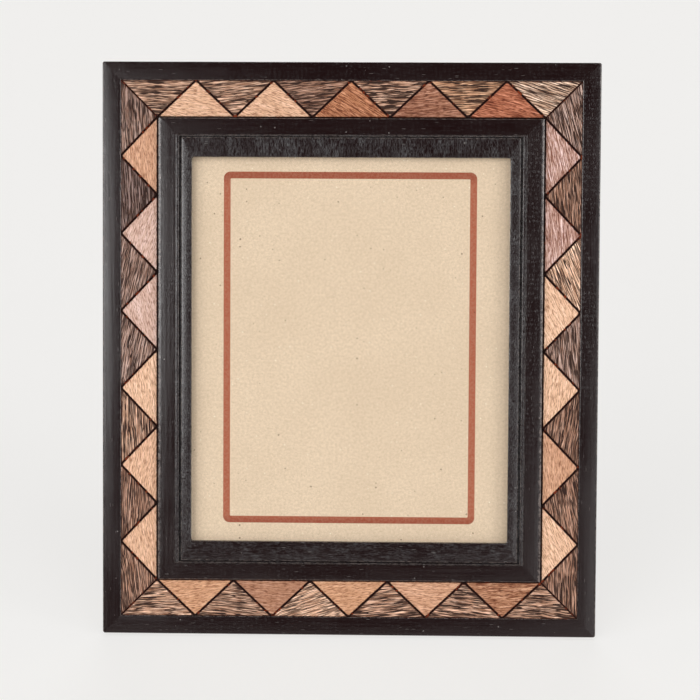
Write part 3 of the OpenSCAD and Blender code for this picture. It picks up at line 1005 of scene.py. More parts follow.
class Shell:
    """Gathers the faces of one piece, with the values that its finish reads at each point."""

    KINDS = {"grain": ("FLOAT_VECTOR", "vector"), "edge": ("FLOAT", "value"),
             "tone": ("FLOAT_COLOR", "color"), "across": ("FLOAT_VECTOR", "vector")}
    WHITE: Colour = (1.0, 1.0, 1.0, 1.0)

    def __init__(self, name: str) -> None:
        """Starts an empty piece.

        Args:
            name: The name of its object and of its mesh.
        """
        self.name = name
        self.points: list[np.ndarray] = []
        self.values: dict[str, list[np.ndarray]] = {label: [] for label in self.KINDS}
        self.faces: list[tuple[int, ...]] = []
        self.coats: list[int] = []
        self.count = 0

    def add_points(self, points: np.ndarray, grain: np.ndarray, edge: np.ndarray,
                   tone: Colour = WHITE, across: Spot = TO_THE_RIGHT) -> int:
        """Adds points in the upright frame.

        Args:
            points: Their places, in millimetres.
            grain: Their places in the wood that the piece is cut from.
            edge: How near each is to an arris, from 0 to 1.
            tone: The tone of the wood, with its figure as alpha.
            across: The direction across the brush marks.

        Returns:
            The number of the first point.
        """
        start = self.count
        self.points.append(points.reshape(-1, 3))
        self.count += len(self.points[-1])
        for label, values in (("grain", grain), ("edge", edge)):
            self.values[label].append(values.reshape(-1))
        for label, value in (("tone", tone), ("across", across)):
            self.values[label].append(np.tile(np.array(value), self.count - start))
        return start

    def add_face(self, corners: tuple[int, ...], coat: int = 0) -> None:
        """Adds one face with the number of its material."""
        self.faces.append(corners)
        self.coats.append(coat)

    def add_rings(self, start: int, rings: int, per_ring: int,
                  coats: list[int] | None = None) -> None:
        """Joins closed rings of points by quads, and closes the first and the last ring.

        Args:
            start: The first ring's first point.
            rings: How many rings there are.
            per_ring: Points in each ring.
            coats: The material number of each strip round the rings, or all 0.
        """
        for here in range(start, start + (rings - 1) * per_ring, per_ring):
            for column in range(per_ring):
                after = (column + 1) % per_ring
                self.add_face((here + column, here + after, here + per_ring + after,
                               here + per_ring + column), coats[column] if coats else 0)
        for here in (start, start + (rings - 1) * per_ring):
            self.add_face(tuple(range(here, here + per_ring)))

    def build(self, materials: list[Material], sharp: float = 38.0) -> bpy.types.Object:
        """Makes the object.

        Args:
            materials: Its materials, in the order of the faces' numbers.
            sharp: The angle in degrees past which an edge stays sharp.

        Returns:
            The new object, in the frame's stance.
        """
        mesh = bpy.data.meshes.new(self.name)
        mesh.from_pydata(np.concatenate(self.points).tolist(), [], self.faces)
        for label, (kind, channel) in self.KINDS.items():
            values = np.concatenate(self.values[label]).astype(np.float32)
            mesh.attributes.new(label, kind, "POINT").data.foreach_set(channel, values)
        mesh.polygons.foreach_set("material_index", self.coats)
        for material in materials:
            mesh.materials.append(material)
        mesh.transform(STANCE)
        work = bmesh.new()
        work.from_mesh(mesh)
        bmesh.ops.recalc_face_normals(work, faces=work.faces)
        work.to_mesh(mesh)
        work.free()
        mesh.shade_smooth()
        mesh.set_sharp_from_angle(angle=math.radians(sharp))
        return place_in_scene(self.name, mesh)


def settle(piece: bpy.types.Object, body: str, slot: Slot, *nodes: str) -> None:
    """Fixes a piece to its body and hides the CAD nodes that it replaces.

    Args:
        piece: The piece, in place.
        body: The CAD body that it moves with.
        slot: Not used.
        *nodes: The CAD nodes that it replaces.
    """
    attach(piece, body)
    if nodes:
        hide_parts(*nodes)
    LOG.info("%s: %d faces on body %s", piece.name, len(piece.data.polygons), body)


class Profile:
    """A closed section of a length of moulding. Places inwards are pairs, or one for both.

    Attributes:
        FADE: How far from an arris its nearness is drawn, in steps.
        NEAR: How near to an arris its two ends are.
        ARRIS_STEPS: Points round an arris.
    """

    FADE = (0.35, 0.8, 1.5)
    NEAR = 0.6
    ARRIS_STEPS = 7

    def __init__(self) -> None:
        """Starts an empty section."""
        self.rows: list[tuple[float, ...]] = []

    def point(self, depth: float, inward: Union[float, Pair, np.ndarray], edge: float = 0.0,
              corner: float = 0.0, coat: int = 0) -> None:
        """Adds a point.

        Args:
            depth: Its depth from the frame's back.
            inward: Its distance inwards.
            edge: How near it is to an arris, from 0 to 1.
            corner: Radius of the outline's corners at this point.
            coat: The material number of the strip that starts here.
        """
        self.rows.append((depth, *np.broadcast_to(inward, 2), edge, corner, coat))

    def arris(self, depth: float, wall: Union[float, np.ndarray], radius: float, rising: bool,
              fall: float = 0.0, corner: float = 0.0, slack: Pair = (1.0, 1.0)) -> None:
        """Adds a rounded arris between a wall and a face.

        Args:
            depth: The face's depth at the arris.
            wall: The wall's place inwards.
            radius: The arris's radius.
            rising: Whether the section climbs the wall here, or goes down it.
            fall: How far the crowned face falls away at the arris.
            corner: Radius of the outline's corners.
            slack: How many times wider than deep the arris is.
        """
        for step in range(self.ARRIS_STEPS):
            angle = math.pi / 2 * step / (self.ARRIS_STEPS - 1)
            if not rising:
                angle = math.pi / 2 - angle
            shift = (radius if rising else -radius) * (1 - math.cos(angle))
            self.point(depth - fall - radius * (1 - math.sin(angle)),
                       wall + shift * np.array(slack),
                       self.NEAR + (1 - self.NEAR) * math.sin(2 * angle), corner)

    def face(self, depth: float, start: np.ndarray, stop: Union[float, np.ndarray],
             crown: float, steps: int, corner: float = 0.0) -> None:
        """Adds the points between the arrises of a crowned face.

        Args:
            depth: The depth of the crown's top.
            start: Where the face starts.
            stop: Where it ends.
            crown: How far it falls away at its arrises.
            steps: Even points across it, apart from those near the arrises.
            corner: Radius of the outline's corners at its far end, growing from none.
        """
        reach = stop - start
        width = abs(reach[0])
        near = [gap / width for gap in self.FADE if gap < width / 3]
        even = [step / steps for step in range(1, steps)]
        for share in sorted({*near, *(1 - share for share in near), *even}):
            gap = min(share, 1 - share) * width
            edge = max(0.0, self.NEAR * (1 - gap / self.FADE[-1]))
            self.point(depth - crown * (2 * share - 1) ** 2, start + reach * share, edge,
                       corner * share ** 3)


@dataclass(frozen=True)
class Waver:
    """How far hand work strays from the drawing, always into the wood.

    Attributes:
        face: Slow hollows in the faces.
        arris: Small dents along the arrises.
        face_size: Length of a hollow.
        arris_size: Length of a dent.
    """

    face: float = 0.07
    arris: float = 0.10
    face_size: float = 34.0
    arris_size: float = 5.0

    def dents(self, places: np.ndarray, edge: np.ndarray) -> np.ndarray:
        """Gives the depth of the hollows and dents.

        Args:
            places: The points' places.
            edge: How near each is to an arris.

        Returns:
            How far each point lies below its drawn place.
        """
        slow, quick = (np.array([noise.noise(Vector(spot) / size) for spot in
                                 places.reshape(-1, 3)]).reshape(places.shape[:-1])
                       for size in (self.face_size, self.arris_size))
        return self.face * (0.5 + 0.5 * slow) + self.arris * edge * np.clip(quick + 0.1, 0, 1)


def lengths_along(length: float, pitch: float) -> np.ndarray:
    """Places cuts along a length, closer together near its ends.

    Args:
        length: The whole length in millimetres.
        pitch: Distance between cuts in the middle.

    Returns:
        Shares of half the length, from -1 to 1.
    """
    ends = np.array([0.0, 0.15, 0.3, 0.5, 0.75, 1.1, 1.7, 2.6, 4.0, 6.0, 8.5])
    first = 11.0
    inner = np.linspace(first, length / 2, max(2, round((length / 2 - first) / pitch)))
    half = 1 - np.concatenate([ends, inner]) / (length / 2)
    return np.unique(np.concatenate([-half, half]).round(7))


def run_profile(shell: Shell, side: Side, profile: Profile, outline: Pair, waver: Waver,
                pitch: float = 3.0) -> None:
    """Runs a section along one side of an outline, mitred at its ends.

    Args:
        shell: The piece that takes the faces.
        side: The side of the frame.
        profile: The section.
        outline: Width and height of the outline.
        waver: How far the hand work strays.
        pitch: Distance between cuts along the length.
    """
    turn = -1 if side.is_end else 1
    depth, side_in, end_in, edge, corner, coat = (np.array(row) for row in zip(*profile.rows))
    inward, other = (side_in, end_in)[::turn]
    half, far = (np.array(outline) / 2)[::turn]
    reach = far - other
    along = lengths_along(2 * far, pitch)[:, None] * reach[None, :]
    inward, depth, edge = (np.broadcast_to(row, along.shape) for row in (inward, depth, edge))
    # Round the outline's corners: the last of each length turns in by an eighth of a circle.
    near = np.clip((np.abs(along) - (reach - corner)) / np.maximum(corner, 1e-6), 0, 1)
    angle = near * math.pi / 4
    rounded = reach - corner + corner * np.sin(angle)
    along = np.where(near > 0, np.sign(along) * rounded, along)
    inward = inward + np.where(near > 0, corner * (1 - np.cos(angle)), 0)
    dent = waver.dents(turned(side, along, inward, depth, half), edge)
    # The grain lies flat round the section, measured along its outline.
    steps = np.hypot(np.diff(np.append(side_in, side_in[0])),
                     np.diff(np.append(depth[0], depth[0][0])))
    girth = np.concatenate([[0], np.cumsum(steps)[:-1]])
    board = np.full(along.shape, 90.0 * (side.value + 1))
    grain = np.stack([along, np.broadcast_to(girth, along.shape), board], -1)
    depth = np.where(depth > depth.max() / 2, depth - dent, depth)
    start = shell.add_points(turned(side, along, inward, depth, half), grain, edge,
                             across=UP_THE_FRAME if side.is_end else TO_THE_RIGHT)
    shell.add_rings(start, *along.shape, coat.astype(int).tolist())


# Sub-assemblies


@dataclass
class Mouldings:
    """The black woodwork of the front: base rails, raised moulding and slips.

    Attributes:
        arris_r: Radius of the arrises of the border and of the moulding.
        inlay_arris_r: Radius of the border's arris beside the inlay.
        slip_arris_r: Radius of the slips' outer arris.
        sight_arris_r: Radius of the arris at the sight edge.
        bead_r: Radius of the bead's arrises.
        border_slack: How many times wider than deep the outer arris is.
        mould_slack: The same for the moulding's outer arris.
        mould_gap: Width of the open joint between the inlay and the moulding.
        lip: How far the moulding's front reaches over the opening.
        lip_depth: Depth of the lip's underside.
        sight_lip: How far the slips' sight edge reaches past its drawn place.
        back_gap: How far the rails' back lies in front of the nails' ends.
        back_ease: How far the back's outer edge is cut away.
        wall_gap: How far below the outer arris the wall's even points end.
        back_fade: How far in from a rail's edges the overspray is heavy, then all thin.
        groove_r: How far the corners of the groove are filled.
        glass_gap: Gap between the glass and the slips.
    """

    sizes: FrameSizes
    lacquer: Material
    slip_lacquers: dict[Side, Material]
    raw_back: Material
    arris_r: float = 1.2
    inlay_arris_r: float = 0.6
    slip_arris_r: float = 0.9
    sight_arris_r: float = 0.12
    bead_r: float = 0.4
    border_slack: Pair = (1.0, 0.5)
    mould_slack: Pair = (2.2, 0.7)
    mould_gap: float = 0.85
    lip: Pair = (1.1, 0.3)
    lip_depth: float = 13.6
    sight_lip: Pair = (0.6, 0.25)
    back_gap: float = 0.02
    back_ease: float = 0.5
    wall_gap: float = 0.6
    back_fade: Pair = (5.0, 12.0)
    groove_r: float = 0.15
    glass_gap: float = 0.05
    border_crown: float = 0.17
    mould_crown: float = 0.06
    slip_crown: float = 0.15
    outer_corner: float = 1.7
    groove_corner: float = 0.4
    sight_corner: float = 1.6

    def rail_profile(self) -> Profile:
        """Draws a base rail's section.

        Returns:
            The section, with the bare back as its second material.
        """
        s, made, front = self.sizes, Profile(), self.sizes.rail_front
        made.point(self.back_gap, self.back_ease, edge=1.0, corner=self.outer_corner)
        wall = front - self.arris_r - self.wall_gap - self.back_ease
        for share, edge in ((0.0, 0.8), (0.2, 0.0), (0.45, 0.0), (0.7, 0.0), (0.9, 0.0)):
            made.point(self.back_ease + wall * share, 0.0, edge, self.outer_corner)
        made.arris(front, 0.0, self.arris_r, True, self.border_crown, self.outer_corner,
                   self.border_slack)
        made.face(front, self.arris_r * np.array(self.border_slack),
                  s.border_w - self.inlay_arris_r, self.border_crown, 6)
        made.arris(front, s.border_w, self.inlay_arris_r, False, self.border_crown)
        made.point(s.channel_floor, s.border_w)
        made.point(s.channel_floor, s.rail_w)
        heavy, thin = self.back_fade
        for gap, edge in ((0.0, 1.0), (heavy, 0.55), (thin, 0.0), (s.rail_w / 2, 0.0),
                          (s.rail_w - thin, 0.0), (s.rail_w - heavy, 0.55)):
            made.point(self.back_gap, s.rail_w - gap, edge, coat=1)
        return made

    def moulding_profile(self) -> Profile:
        """Draws the raised moulding's section.

        Returns:
            The section.
        """
        s, made, front = self.sizes, Profile(), self.sizes.mould_front
        outer, inner = s.rail_w - s.mould_w + self.mould_gap, s.rail_w
        foot, edges = s.channel_floor + self.back_gap, inner + np.array(self.lip)
        made.point(foot, outer)
        made.point(s.rail_front, outer)
        made.arris(front, outer, self.arris_r, True, self.mould_crown, slack=self.mould_slack)
        made.face(front, outer + self.arris_r * np.array(self.mould_slack),
                  edges - self.sight_arris_r, self.mould_crown, 7)
        made.arris(front, edges, self.sight_arris_r, False, self.mould_crown)
        for depth, inward in ((self.lip_depth, edges), (self.lip_depth, inner), (foot, inner)):
            made.point(depth, inward)
        return made

    def slip_profile(self) -> Profile:
        """Draws a slip's section: bead, groove, crowned face, sight edge and rebate.

        Returns:
            The section.
        """
        s, made = self.sizes, Profile()
        bead_w, groove_w, lip = (np.array(pair) for pair in (s.bead_w, s.groove_w, self.lip))
        wall, bead = s.slip_fit + lip, bead_w + lip
        groove, drawn = bead + groove_w, bead_w + groove_w + s.slip_w
        sight, rebate = drawn + self.sight_lip, drawn - s.lap - s.insert_clear
        under_lip, low = self.lip_depth - s.slip_fit, s.groove_floor + self.groove_r
        for depth, inward in ((self.back_gap, s.slip_fit), (under_lip, s.slip_fit),
                              (under_lip, wall)):
            made.point(depth, inward)
        made.arris(s.bead_front, wall, self.bead_r, True)
        made.point(s.bead_front + 0.02, (wall + bead) / 2, edge=0.5)
        made.arris(s.bead_front, bead, self.bead_r, False)
        for depth, inward in ((low, bead), (s.groove_floor, bead + self.groove_r),
                              (s.groove_floor, groove - self.groove_r), (low, groove)):
            made.point(depth, inward)
        made.arris(s.slip_front, groove, self.slip_arris_r, True, self.slip_crown,
                   self.groove_corner)
        made.face(s.slip_front, groove + self.slip_arris_r, sight - self.sight_arris_r,
                  self.slip_crown, 9, self.sight_corner)
        made.arris(s.slip_front, sight, self.sight_arris_r, False, self.slip_crown,
                   self.sight_corner)
        made.point(s.glass_front + self.glass_gap, sight, corner=self.sight_corner)
        made.point(s.glass_front + self.glass_gap, rebate)
        made.point(self.back_gap, rebate)
        return made

    def build(self) -> None:
        """Builds the rails, the moulding and the slips of the four sides."""
        outer, opening = self.sizes.outer, self.sizes.opening
        rail, moulding, slip = self.rail_profile(), self.moulding_profile(), self.slip_profile()
        kinds = (("rail", rail, outer, Waver(), [self.lacquer, self.raw_back]),
                 ("moulding", moulding, outer, Waver(0.08, 0.12), [self.lacquer]),
                 ("slip", slip, opening, Waver(0.12, 0.16, 26.0, 4.0), []))
        for kind, profile, outline, waver, coats in kinds:
            for side in Side:
                shell = Shell(f"{kind}_dressed_{side.label}")
                run_profile(shell, side, profile, outline, waver)
                piece = shell.build(coats or [self.slip_lacquers[side]])
                settle(piece, "frame", Slot.LACQUER, f"{kind}_{side.label}")


class Tone(Enum):
    """Tones of the tiles. The last value is a light tile's figure, or a palm tile's strands."""

    PALE = (srgb(222, 178, 146), 0.12)
    PEACH = (srgb(230, 188, 156), 0.10)
    PINK = (srgb(214, 180, 164), 0.16)
    APRICOT = (srgb(208, 160, 128), 0.16)
    TAN = (srgb(208, 158, 122), 0.2)
    MAUVE = (srgb(180, 132, 104), 0.25)
    ORANGE = (srgb(204, 144, 106), 0.8)
    RED = (srgb(198, 128, 97), 0.8)
    CARAMEL = (srgb(197, 147, 114), 0.8)
    BROWN = (srgb(182, 132, 106), 0.8)
    ROSE = (srgb(226, 192, 180), 0.85)
    PALM_SANDY = (srgb(224, 190, 164), 0.52)
    PALM_GOLDEN = (srgb(208, 162, 128), 0.58)
    PALM_BOLD = (srgb(218, 176, 148), 0.5)
    PALM_STRIPED = (srgb(216, 173, 146), 0.78)
    PALM_TAN = (srgb(204, 164, 138), 0.55)
    PALM_GREY = (srgb(182, 152, 138), 0.6)
    PALM_BROWN = (srgb(178, 138, 116), 0.6)
    PALM_DARK = (srgb(142, 118, 110), 0.7)
    PALM_DENSE = (srgb(166, 136, 122), 0.5)
    PALM_AMBER = (srgb(240, 198, 168), 0.22)

    @property
    def rgba(self) -> Colour:
        """The tone with its figure as alpha."""
        colour, figure = self.value
        return (*colour[:3], figure)


# Each tile's tone, and the angle of its grain to the side in degrees.
Tile = tuple[Tone, float]
LIGHT_TILES: dict[Side, list[Tile]] = {
    Side.BOTTOM: [(Tone.TAN, 4), (Tone.MAUVE, -3), (Tone.TAN, 6), (Tone.APRICOT, -4),
                  (Tone.CARAMEL, 5)],
    Side.RIGHT: [(Tone.PEACH, 24), (Tone.APRICOT, 6), (Tone.PEACH, -8), (Tone.PEACH, 28),
                 (Tone.ROSE, 4), (Tone.ROSE, 9)],
    Side.TOP: [(Tone.RED, -14), (Tone.BROWN, 4), (Tone.ORANGE, -32), (Tone.PALE, -18),
               (Tone.PALE, -8)],
    Side.LEFT: [(Tone.APRICOT, 3), (Tone.PINK, -14), (Tone.PINK, 12), (Tone.PEACH, 5),
                (Tone.PALE, -6), (Tone.PALE, 8)],
}
PALM_TILES: dict[Side, list[Tile]] = {
    Side.BOTTOM: [(Tone.PALM_BOLD, 2), (Tone.PALM_TAN, -4), (Tone.PALM_AMBER, 18),
                  (Tone.PALM_STRIPED, 3), (Tone.PALM_STRIPED, -6), (Tone.PALM_STRIPED, -2)],
    Side.RIGHT: [(Tone.PALM_BROWN, 2), (Tone.PALM_BROWN, 10), (Tone.PALM_BROWN, -8),
                 (Tone.PALM_GREY, 5), (Tone.PALM_AMBER, 20), (Tone.PALM_BROWN, 3),
                 (Tone.PALM_GREY, 14)],
    Side.TOP: [(Tone.PALM_SANDY, -16), (Tone.PALM_GOLDEN, -3), (Tone.PALM_STRIPED, 2),
               (Tone.PALM_BROWN, 4), (Tone.PALM_TAN, 7), (Tone.PALM_TAN, -3)],
    Side.LEFT: [(Tone.PALM_DENSE, 6), (Tone.PALM_DARK, 4), (Tone.PALM_DENSE, -12),
                (Tone.PALM_GREY, -7), (Tone.PALM_TAN, 3), (Tone.PALM_BROWN, -4),
                (Tone.PALM_BROWN, 5)],
}


@dataclass
class InlayBand:
    """The band of triangular tiles round the rails, with the filler in its joints.

    Attributes:
        joint_drop: How far the filler lies below the tiles.
        base_inset: How far a tile's base stays clear of the border or the moulding.
        slant_inset: How far its slanted edges stay clear of their lines.
        mitre_inset: How far the edge along a mitre stays clear of it.
        tile_sink: The most that a tile lies below its drawn face.
        corner_cut: The least that a tile's corner is blunted.
        corner_spread: How much the blunting differs from corner to corner.
        corner_mid: Where a blunted corner's middle lies, as a share of its cut.
        edge_room: How far before the next corner's cut an edge's points stop.
        edge_waver: How uneven the edges are.
        tile_tilt: How far out of level a tile lies, as a slope.
        angle_spread: How far the grain strays from its angle, in degrees.
        board_reach: How far from the middle of the wood a tile may be cut.
        edge_pitch: Distance between the points of a tile's edges.
        floor_gap: Gap between the channel and what lies in it.
        easing: A tile's rings: how far in, how far below its face, and how near an arris.
    """

    sizes: FrameSizes
    palm: Material
    light: Material
    filler: Material
    joint_drop: float = 0.32
    base_inset: float = 0.2
    slant_inset: float = 0.64
    mitre_inset: float = 0.42
    tile_sink: float = 0.12
    corner_cut: float = 0.5
    corner_spread: float = 0.35
    corner_mid: float = 0.32
    edge_room: float = 0.6
    edge_waver: float = 0.035
    tile_tilt: float = 0.0022
    angle_spread: float = 1.5
    board_reach: float = 400.0
    edge_pitch: float = 1.6
    floor_gap: float = 0.03
    easing: tuple[Spot, ...] = ((0.0, 0.42, 1.0), (0.09, 0.16, 1.0), (0.3, 0.02, 0.75),
                                (0.75, 0.0, 0.25), (1.5, 0.0, 0.0))
    draw: random.Random = field(default_factory=lambda: random.Random(41))

    def corners(self, side: Side, index: int, is_light: bool) -> np.ndarray:
        """Gives a tile's corners as distance along the side and inwards.

        Args:
            side: The side of the frame.
            index: The tile's number along the side.
            is_light: Whether it is a light tile.

        Returns:
            Three corners, with the base between the first two.
        """
        s = self.sizes
        count, length = s.tiles[side.is_end], s.inlay[not side.is_end]
        bases = [length * (number / count - 0.5) for number in range(count + 1)]
        # The points of the light tiles, past the ends for the corner tiles.
        points = [bases[0] - s.band_w]
        points += [length * ((number + 0.5) / count - 0.5) for number in range(count)]
        points += [bases[-1] + s.band_w]
        outer, inner = s.border_w, s.border_w + s.band_w
        if is_light:
            return np.array([[bases[index], inner], [bases[index + 1], inner],
                             [points[index + 1], outer]])
        return np.array([[points[index], outer], [points[index + 1], outer],
                         [bases[index], inner]])

    def inset(self, corners: np.ndarray) -> np.ndarray:
        """Moves a triangle's edges inwards by the joints that they leave.

        Args:
            corners: The triangle, with its base between the first two corners.

        Returns:
            The smaller triangle.
        """
        steps = [self.base_inset, self.slant_inset, self.slant_inset]
        for n in (1, 2):
            run = corners[(n + 1) % 3] - corners[n]
            if abs(abs(run[0]) - abs(run[1])) < 0.5:
                steps[n] = self.mitre_inset
        drawn = []
        for n, here in enumerate(corners):
            after, before = unit(corners[(n + 1) % 3] - here), unit(corners[n - 1] - here)
            sine = abs(after[0] * before[1] - after[1] * before[0])
            drawn.append(here + after * steps[n - 1] / sine + before * steps[n] / sine)
        return np.array(drawn)

    def outline(self, corners: np.ndarray) -> tuple[np.ndarray, np.ndarray, float]:
        """Draws a tile's outline, with blunted corners and slightly uneven edges.

        Args:
            corners: The triangle before its joints.

        Returns:
            The outline's points, the triangle's middle and the radius of its inner circle.
        """
        drawn = self.inset(corners)
        spans = np.array([np.linalg.norm(drawn[(n + 1) % 3] - drawn[(n + 2) % 3])
                          for n in range(3)])
        middle = (spans[:, None] * drawn).sum(0) / spans.sum()
        one, two = drawn[1] - drawn[0], drawn[2] - drawn[0]
        radius = abs(one[0] * two[1] - one[1] * two[0]) / spans.sum()
        points: list[np.ndarray] = []
        for n, here in enumerate(drawn):
            after = drawn[(n + 1) % 3]
            cut = self.corner_cut + abs(self.draw.gauss(0, self.corner_spread))
            back, on = unit(drawn[n - 1] - here), unit(after - here)
            start, stop = here + on * cut, after - on * (self.corner_cut + self.edge_room)
            points += [here + back * cut, here + (back + on) * cut * self.corner_mid, start]
            span, across = np.linalg.norm(stop - start), np.array([-on[1], on[0]])
            for step in range(1, int(span / self.edge_pitch)):
                share = step * self.edge_pitch / span
                uneven = across * self.draw.gauss(0, self.edge_waver)
                points.append(start + (stop - start) * share + uneven)
        return np.array(points), middle, radius

    def add_tile(self, shell: Shell, side: Side, corners: np.ndarray, tile: Tile) -> None:
        """Adds one tile with eased edges, cut from its own place in the wood.

        Args:
            shell: The piece that takes it.
            side: The side of the frame.
            corners: The triangle before its joints.
            tile: Its tone and the angle of its grain.
        """
        s, draw = self.sizes, self.draw
        outline, middle, radius = self.outline(corners)
        top = s.tile_front - draw.uniform(0.0, self.tile_sink)
        tilt = np.array([draw.gauss(0, self.tile_tilt) for _ in range(2)])
        angle = math.radians(tile[1] + draw.gauss(0, self.angle_spread))
        reach = self.board_reach
        offset = np.array([draw.uniform(-reach, reach) for _ in range(2)])
        turn = np.array([[math.cos(angle), -math.sin(angle)], [math.sin(angle), math.cos(angle)]])
        start = shell.count
        for inset, drop, edge in ((0.0, None, 0.0), *self.easing):
            away = (outline - middle) * (1 - inset / radius)
            flat = middle + away
            if drop is None:
                height = np.full(len(flat), s.channel_floor + self.floor_gap)
            else:
                height = top - drop + away @ tilt
            wood = np.column_stack([away @ turn + offset, np.zeros(len(flat))])
            wood[:, 1] += s.tile_front - height
            places = turned(side, flat[:, 0], flat[:, 1], height, s.outer[side.is_end] / 2)
            shell.add_points(places, wood, np.full(len(flat), edge), tile[0].rgba)
        shell.add_rings(start, 1 + len(self.easing), len(outline))

    def filler_profile(self) -> Profile:
        """Draws the section of the filler that shows between the tiles.

        Returns:
            The section.
        """
        s, made, gap = self.sizes, Profile(), self.floor_gap
        outer, inner = s.border_w + gap, s.border_w + s.band_w - gap
        made.point(s.channel_floor + gap, outer)
        for inward in outer + (inner - outer) * np.linspace(0, 1, 26):
            made.point(s.tile_front - self.joint_drop, inward)
        made.point(s.channel_floor + gap, inner)
        return made

    def build(self) -> None:
        """Builds the tiles and the filler of the four sides."""
        rough = Waver(0.3, 0.0, 2.2, 5.0)
        for side in Side:
            kinds = (("palm", PALM_TILES[side], self.palm, Slot.PALM),
                     ("light", LIGHT_TILES[side], self.light, Slot.LIGHT))
            for kind, tiles, material, slot in kinds:
                shell = Shell(f"{kind}_tiles_{side.label}")
                for index, tile in enumerate(tiles):
                    self.add_tile(shell, side, self.corners(side, index, kind == "light"), tile)
                settle(shell.build([material]), "frame", slot, f"{kind}_inlay_{side.label}")
            shell = Shell(f"joint_filler_{side.label}")
            run_profile(shell, side, self.filler_profile(), self.sizes.outer, rough, 1.6)
            settle(shell.build([self.filler], 60.0), "frame", Slot.LACQUER)


@dataclass
class PictureCard:
    """The kraft card in the frame, with its printed border line.

    Attributes:
        glass_gap: Gap between the card and the glass.
        line_w: Width of the printed line.
        line_box: Width and height of the line's outer edge.
        line_shift: How far its middle lies to the right of and above the card's middle.
        line_r: Radius of the line's outer corners, and of its inner corners.
        corner_steps: Faces round each of those corners.
    """

    sizes: FrameSizes
    card: Material
    print: Material
    thickness: float = 0.9
    glass_gap: float = 0.06
    line_w: float = 5.2
    line_box: Pair = (193.5, 269.6)
    line_shift: Pair = (-0.4, 1.5)
    line_r: Pair = (5.0, 0.7)
    corner_steps: int = 8

    def loop(self, inset: float, radius: float) -> np.ndarray:
        """Draws the line's outer or inner edge.

        Args:
            inset: Distance inwards from the line's outer edge.
            radius: Radius of the corners.

        Returns:
            Points from the lower right corner on, counter-clockwise, as many at each corner.
        """
        points = []
        half = np.array(self.line_box) / 2 - inset
        for corner, signs in enumerate(((1, -1), (1, 1), (-1, 1), (-1, -1))):
            for step in range(self.corner_steps + 1):
                angle = math.pi / 2 * (corner - 1 + step / self.corner_steps)
                points.append(self.line_shift + signs * (half - radius)
                              + radius * np.array([math.cos(angle), math.sin(angle)]))
        return np.array(points)

    def build(self) -> None:
        """Builds the card as one sheet whose front is parted along the line."""
        s, shell = self.sizes, Shell("picture_card")
        front = s.glass_back - self.glass_gap
        rim = np.array(((1, -1), (1, 1), (-1, 1), (-1, -1))) * s.insert / 2
        edges = (rim, self.loop(0.0, self.line_r[0]), self.loop(self.line_w, self.line_r[1]), rim)
        starts = []
        for edge, depth in zip(edges, (front, front, front, front - self.thickness)):
            deep = np.full(len(edge), depth)
            places = np.stack([edge[:, 0], -deep, edge[:, 1]], -1)
            grain = np.column_stack([edge, deep])
            starts.append(shell.add_points(places, grain, np.zeros(len(edge))))
        outer, line, field_edge, back = starts
        per_corner = self.corner_steps + 1
        for corner in range(4):
            first, after = line + corner * per_corner, (corner + 1) % 4
            for step in range(self.corner_steps):
                shell.add_face((outer + corner, first + step, first + step + 1))
            shell.add_face((outer + corner, first + self.corner_steps, line + after * per_corner,
                            outer + after))
            shell.add_face((outer + corner, outer + after, back + after, back + corner))
        around = 4 * per_corner
        for step in range(around):
            after = (step + 1) % around
            shell.add_face((line + step, line + after, field_edge + after, field_edge + step), 1)
        shell.add_face(tuple(range(field_edge, field_edge + around)))
        shell.add_face(tuple(range(back, back + 4)))
        settle(shell.build([self.card, self.print]), "frame", Slot.CARD, "insert_card")


@dataclass
class CarriedNodes:
    """The CAD nodes that keep their own shape: glass, boards, fittings and the easel leg.

    Attributes:
        nodes: The CAD nodes by name.
        finishes: The material of each slot.
        bevel: Width of the eased arrises.
        weld: How close points are joined.
        arris_angle: The angle in degrees past which an edge is eased.
    """

    nodes: dict[str, bpy.types.Object]
    finishes: dict[Slot, Material]
    bevel: float = 0.18
    weld: float = 0.002
    arris_angle: float = 40.0

    SLOTS = {"glass_pane": Slot.GLASS, "filler_card": Slot.FILLER, "backing_board": Slot.BACK,
             "leg_panel": Slot.LEG, "turn_button": Slot.BRASS, "button_screws": Slot.BRASS}

    def slot_of(self, name: str) -> Slot:
        """Gives the slot of a node's finish, by how its name starts."""
        found = (slot for start, slot in self.SLOTS.items() if name.startswith(start))
        return next(found, Slot.STEEL)

    def ease(self, node: bpy.types.Object) -> None:
        """Eases the arrises of a node.

        Args:
            node: The CAD node, whose own mesh stays as it is.
        """
        node.modifiers.new("weld", "WELD").merge_threshold = self.weld * MM
        bevel = node.modifiers.new("eased_arrises", "BEVEL")
        bevel.width = self.bevel * MM
        bevel.segments = 2
        bevel.limit_method = "ANGLE"
        bevel.angle_limit = math.radians(self.arris_angle)
        bevel.harden_normals = False

    def dress(self) -> None:
        """Gives every node that still shows its finish, and eases all but the glass."""
        for name, node in sorted(self.nodes.items()):
            if node.hide_render:
                continue
            slot = self.slot_of(name)
            node.data.materials.clear()
            node.data.materials.append(self.finishes[slot])
            if slot is not Slot.GLASS:
                self.ease(node)
            LOG.info("%s: CAD node in %s", name, slot.value)


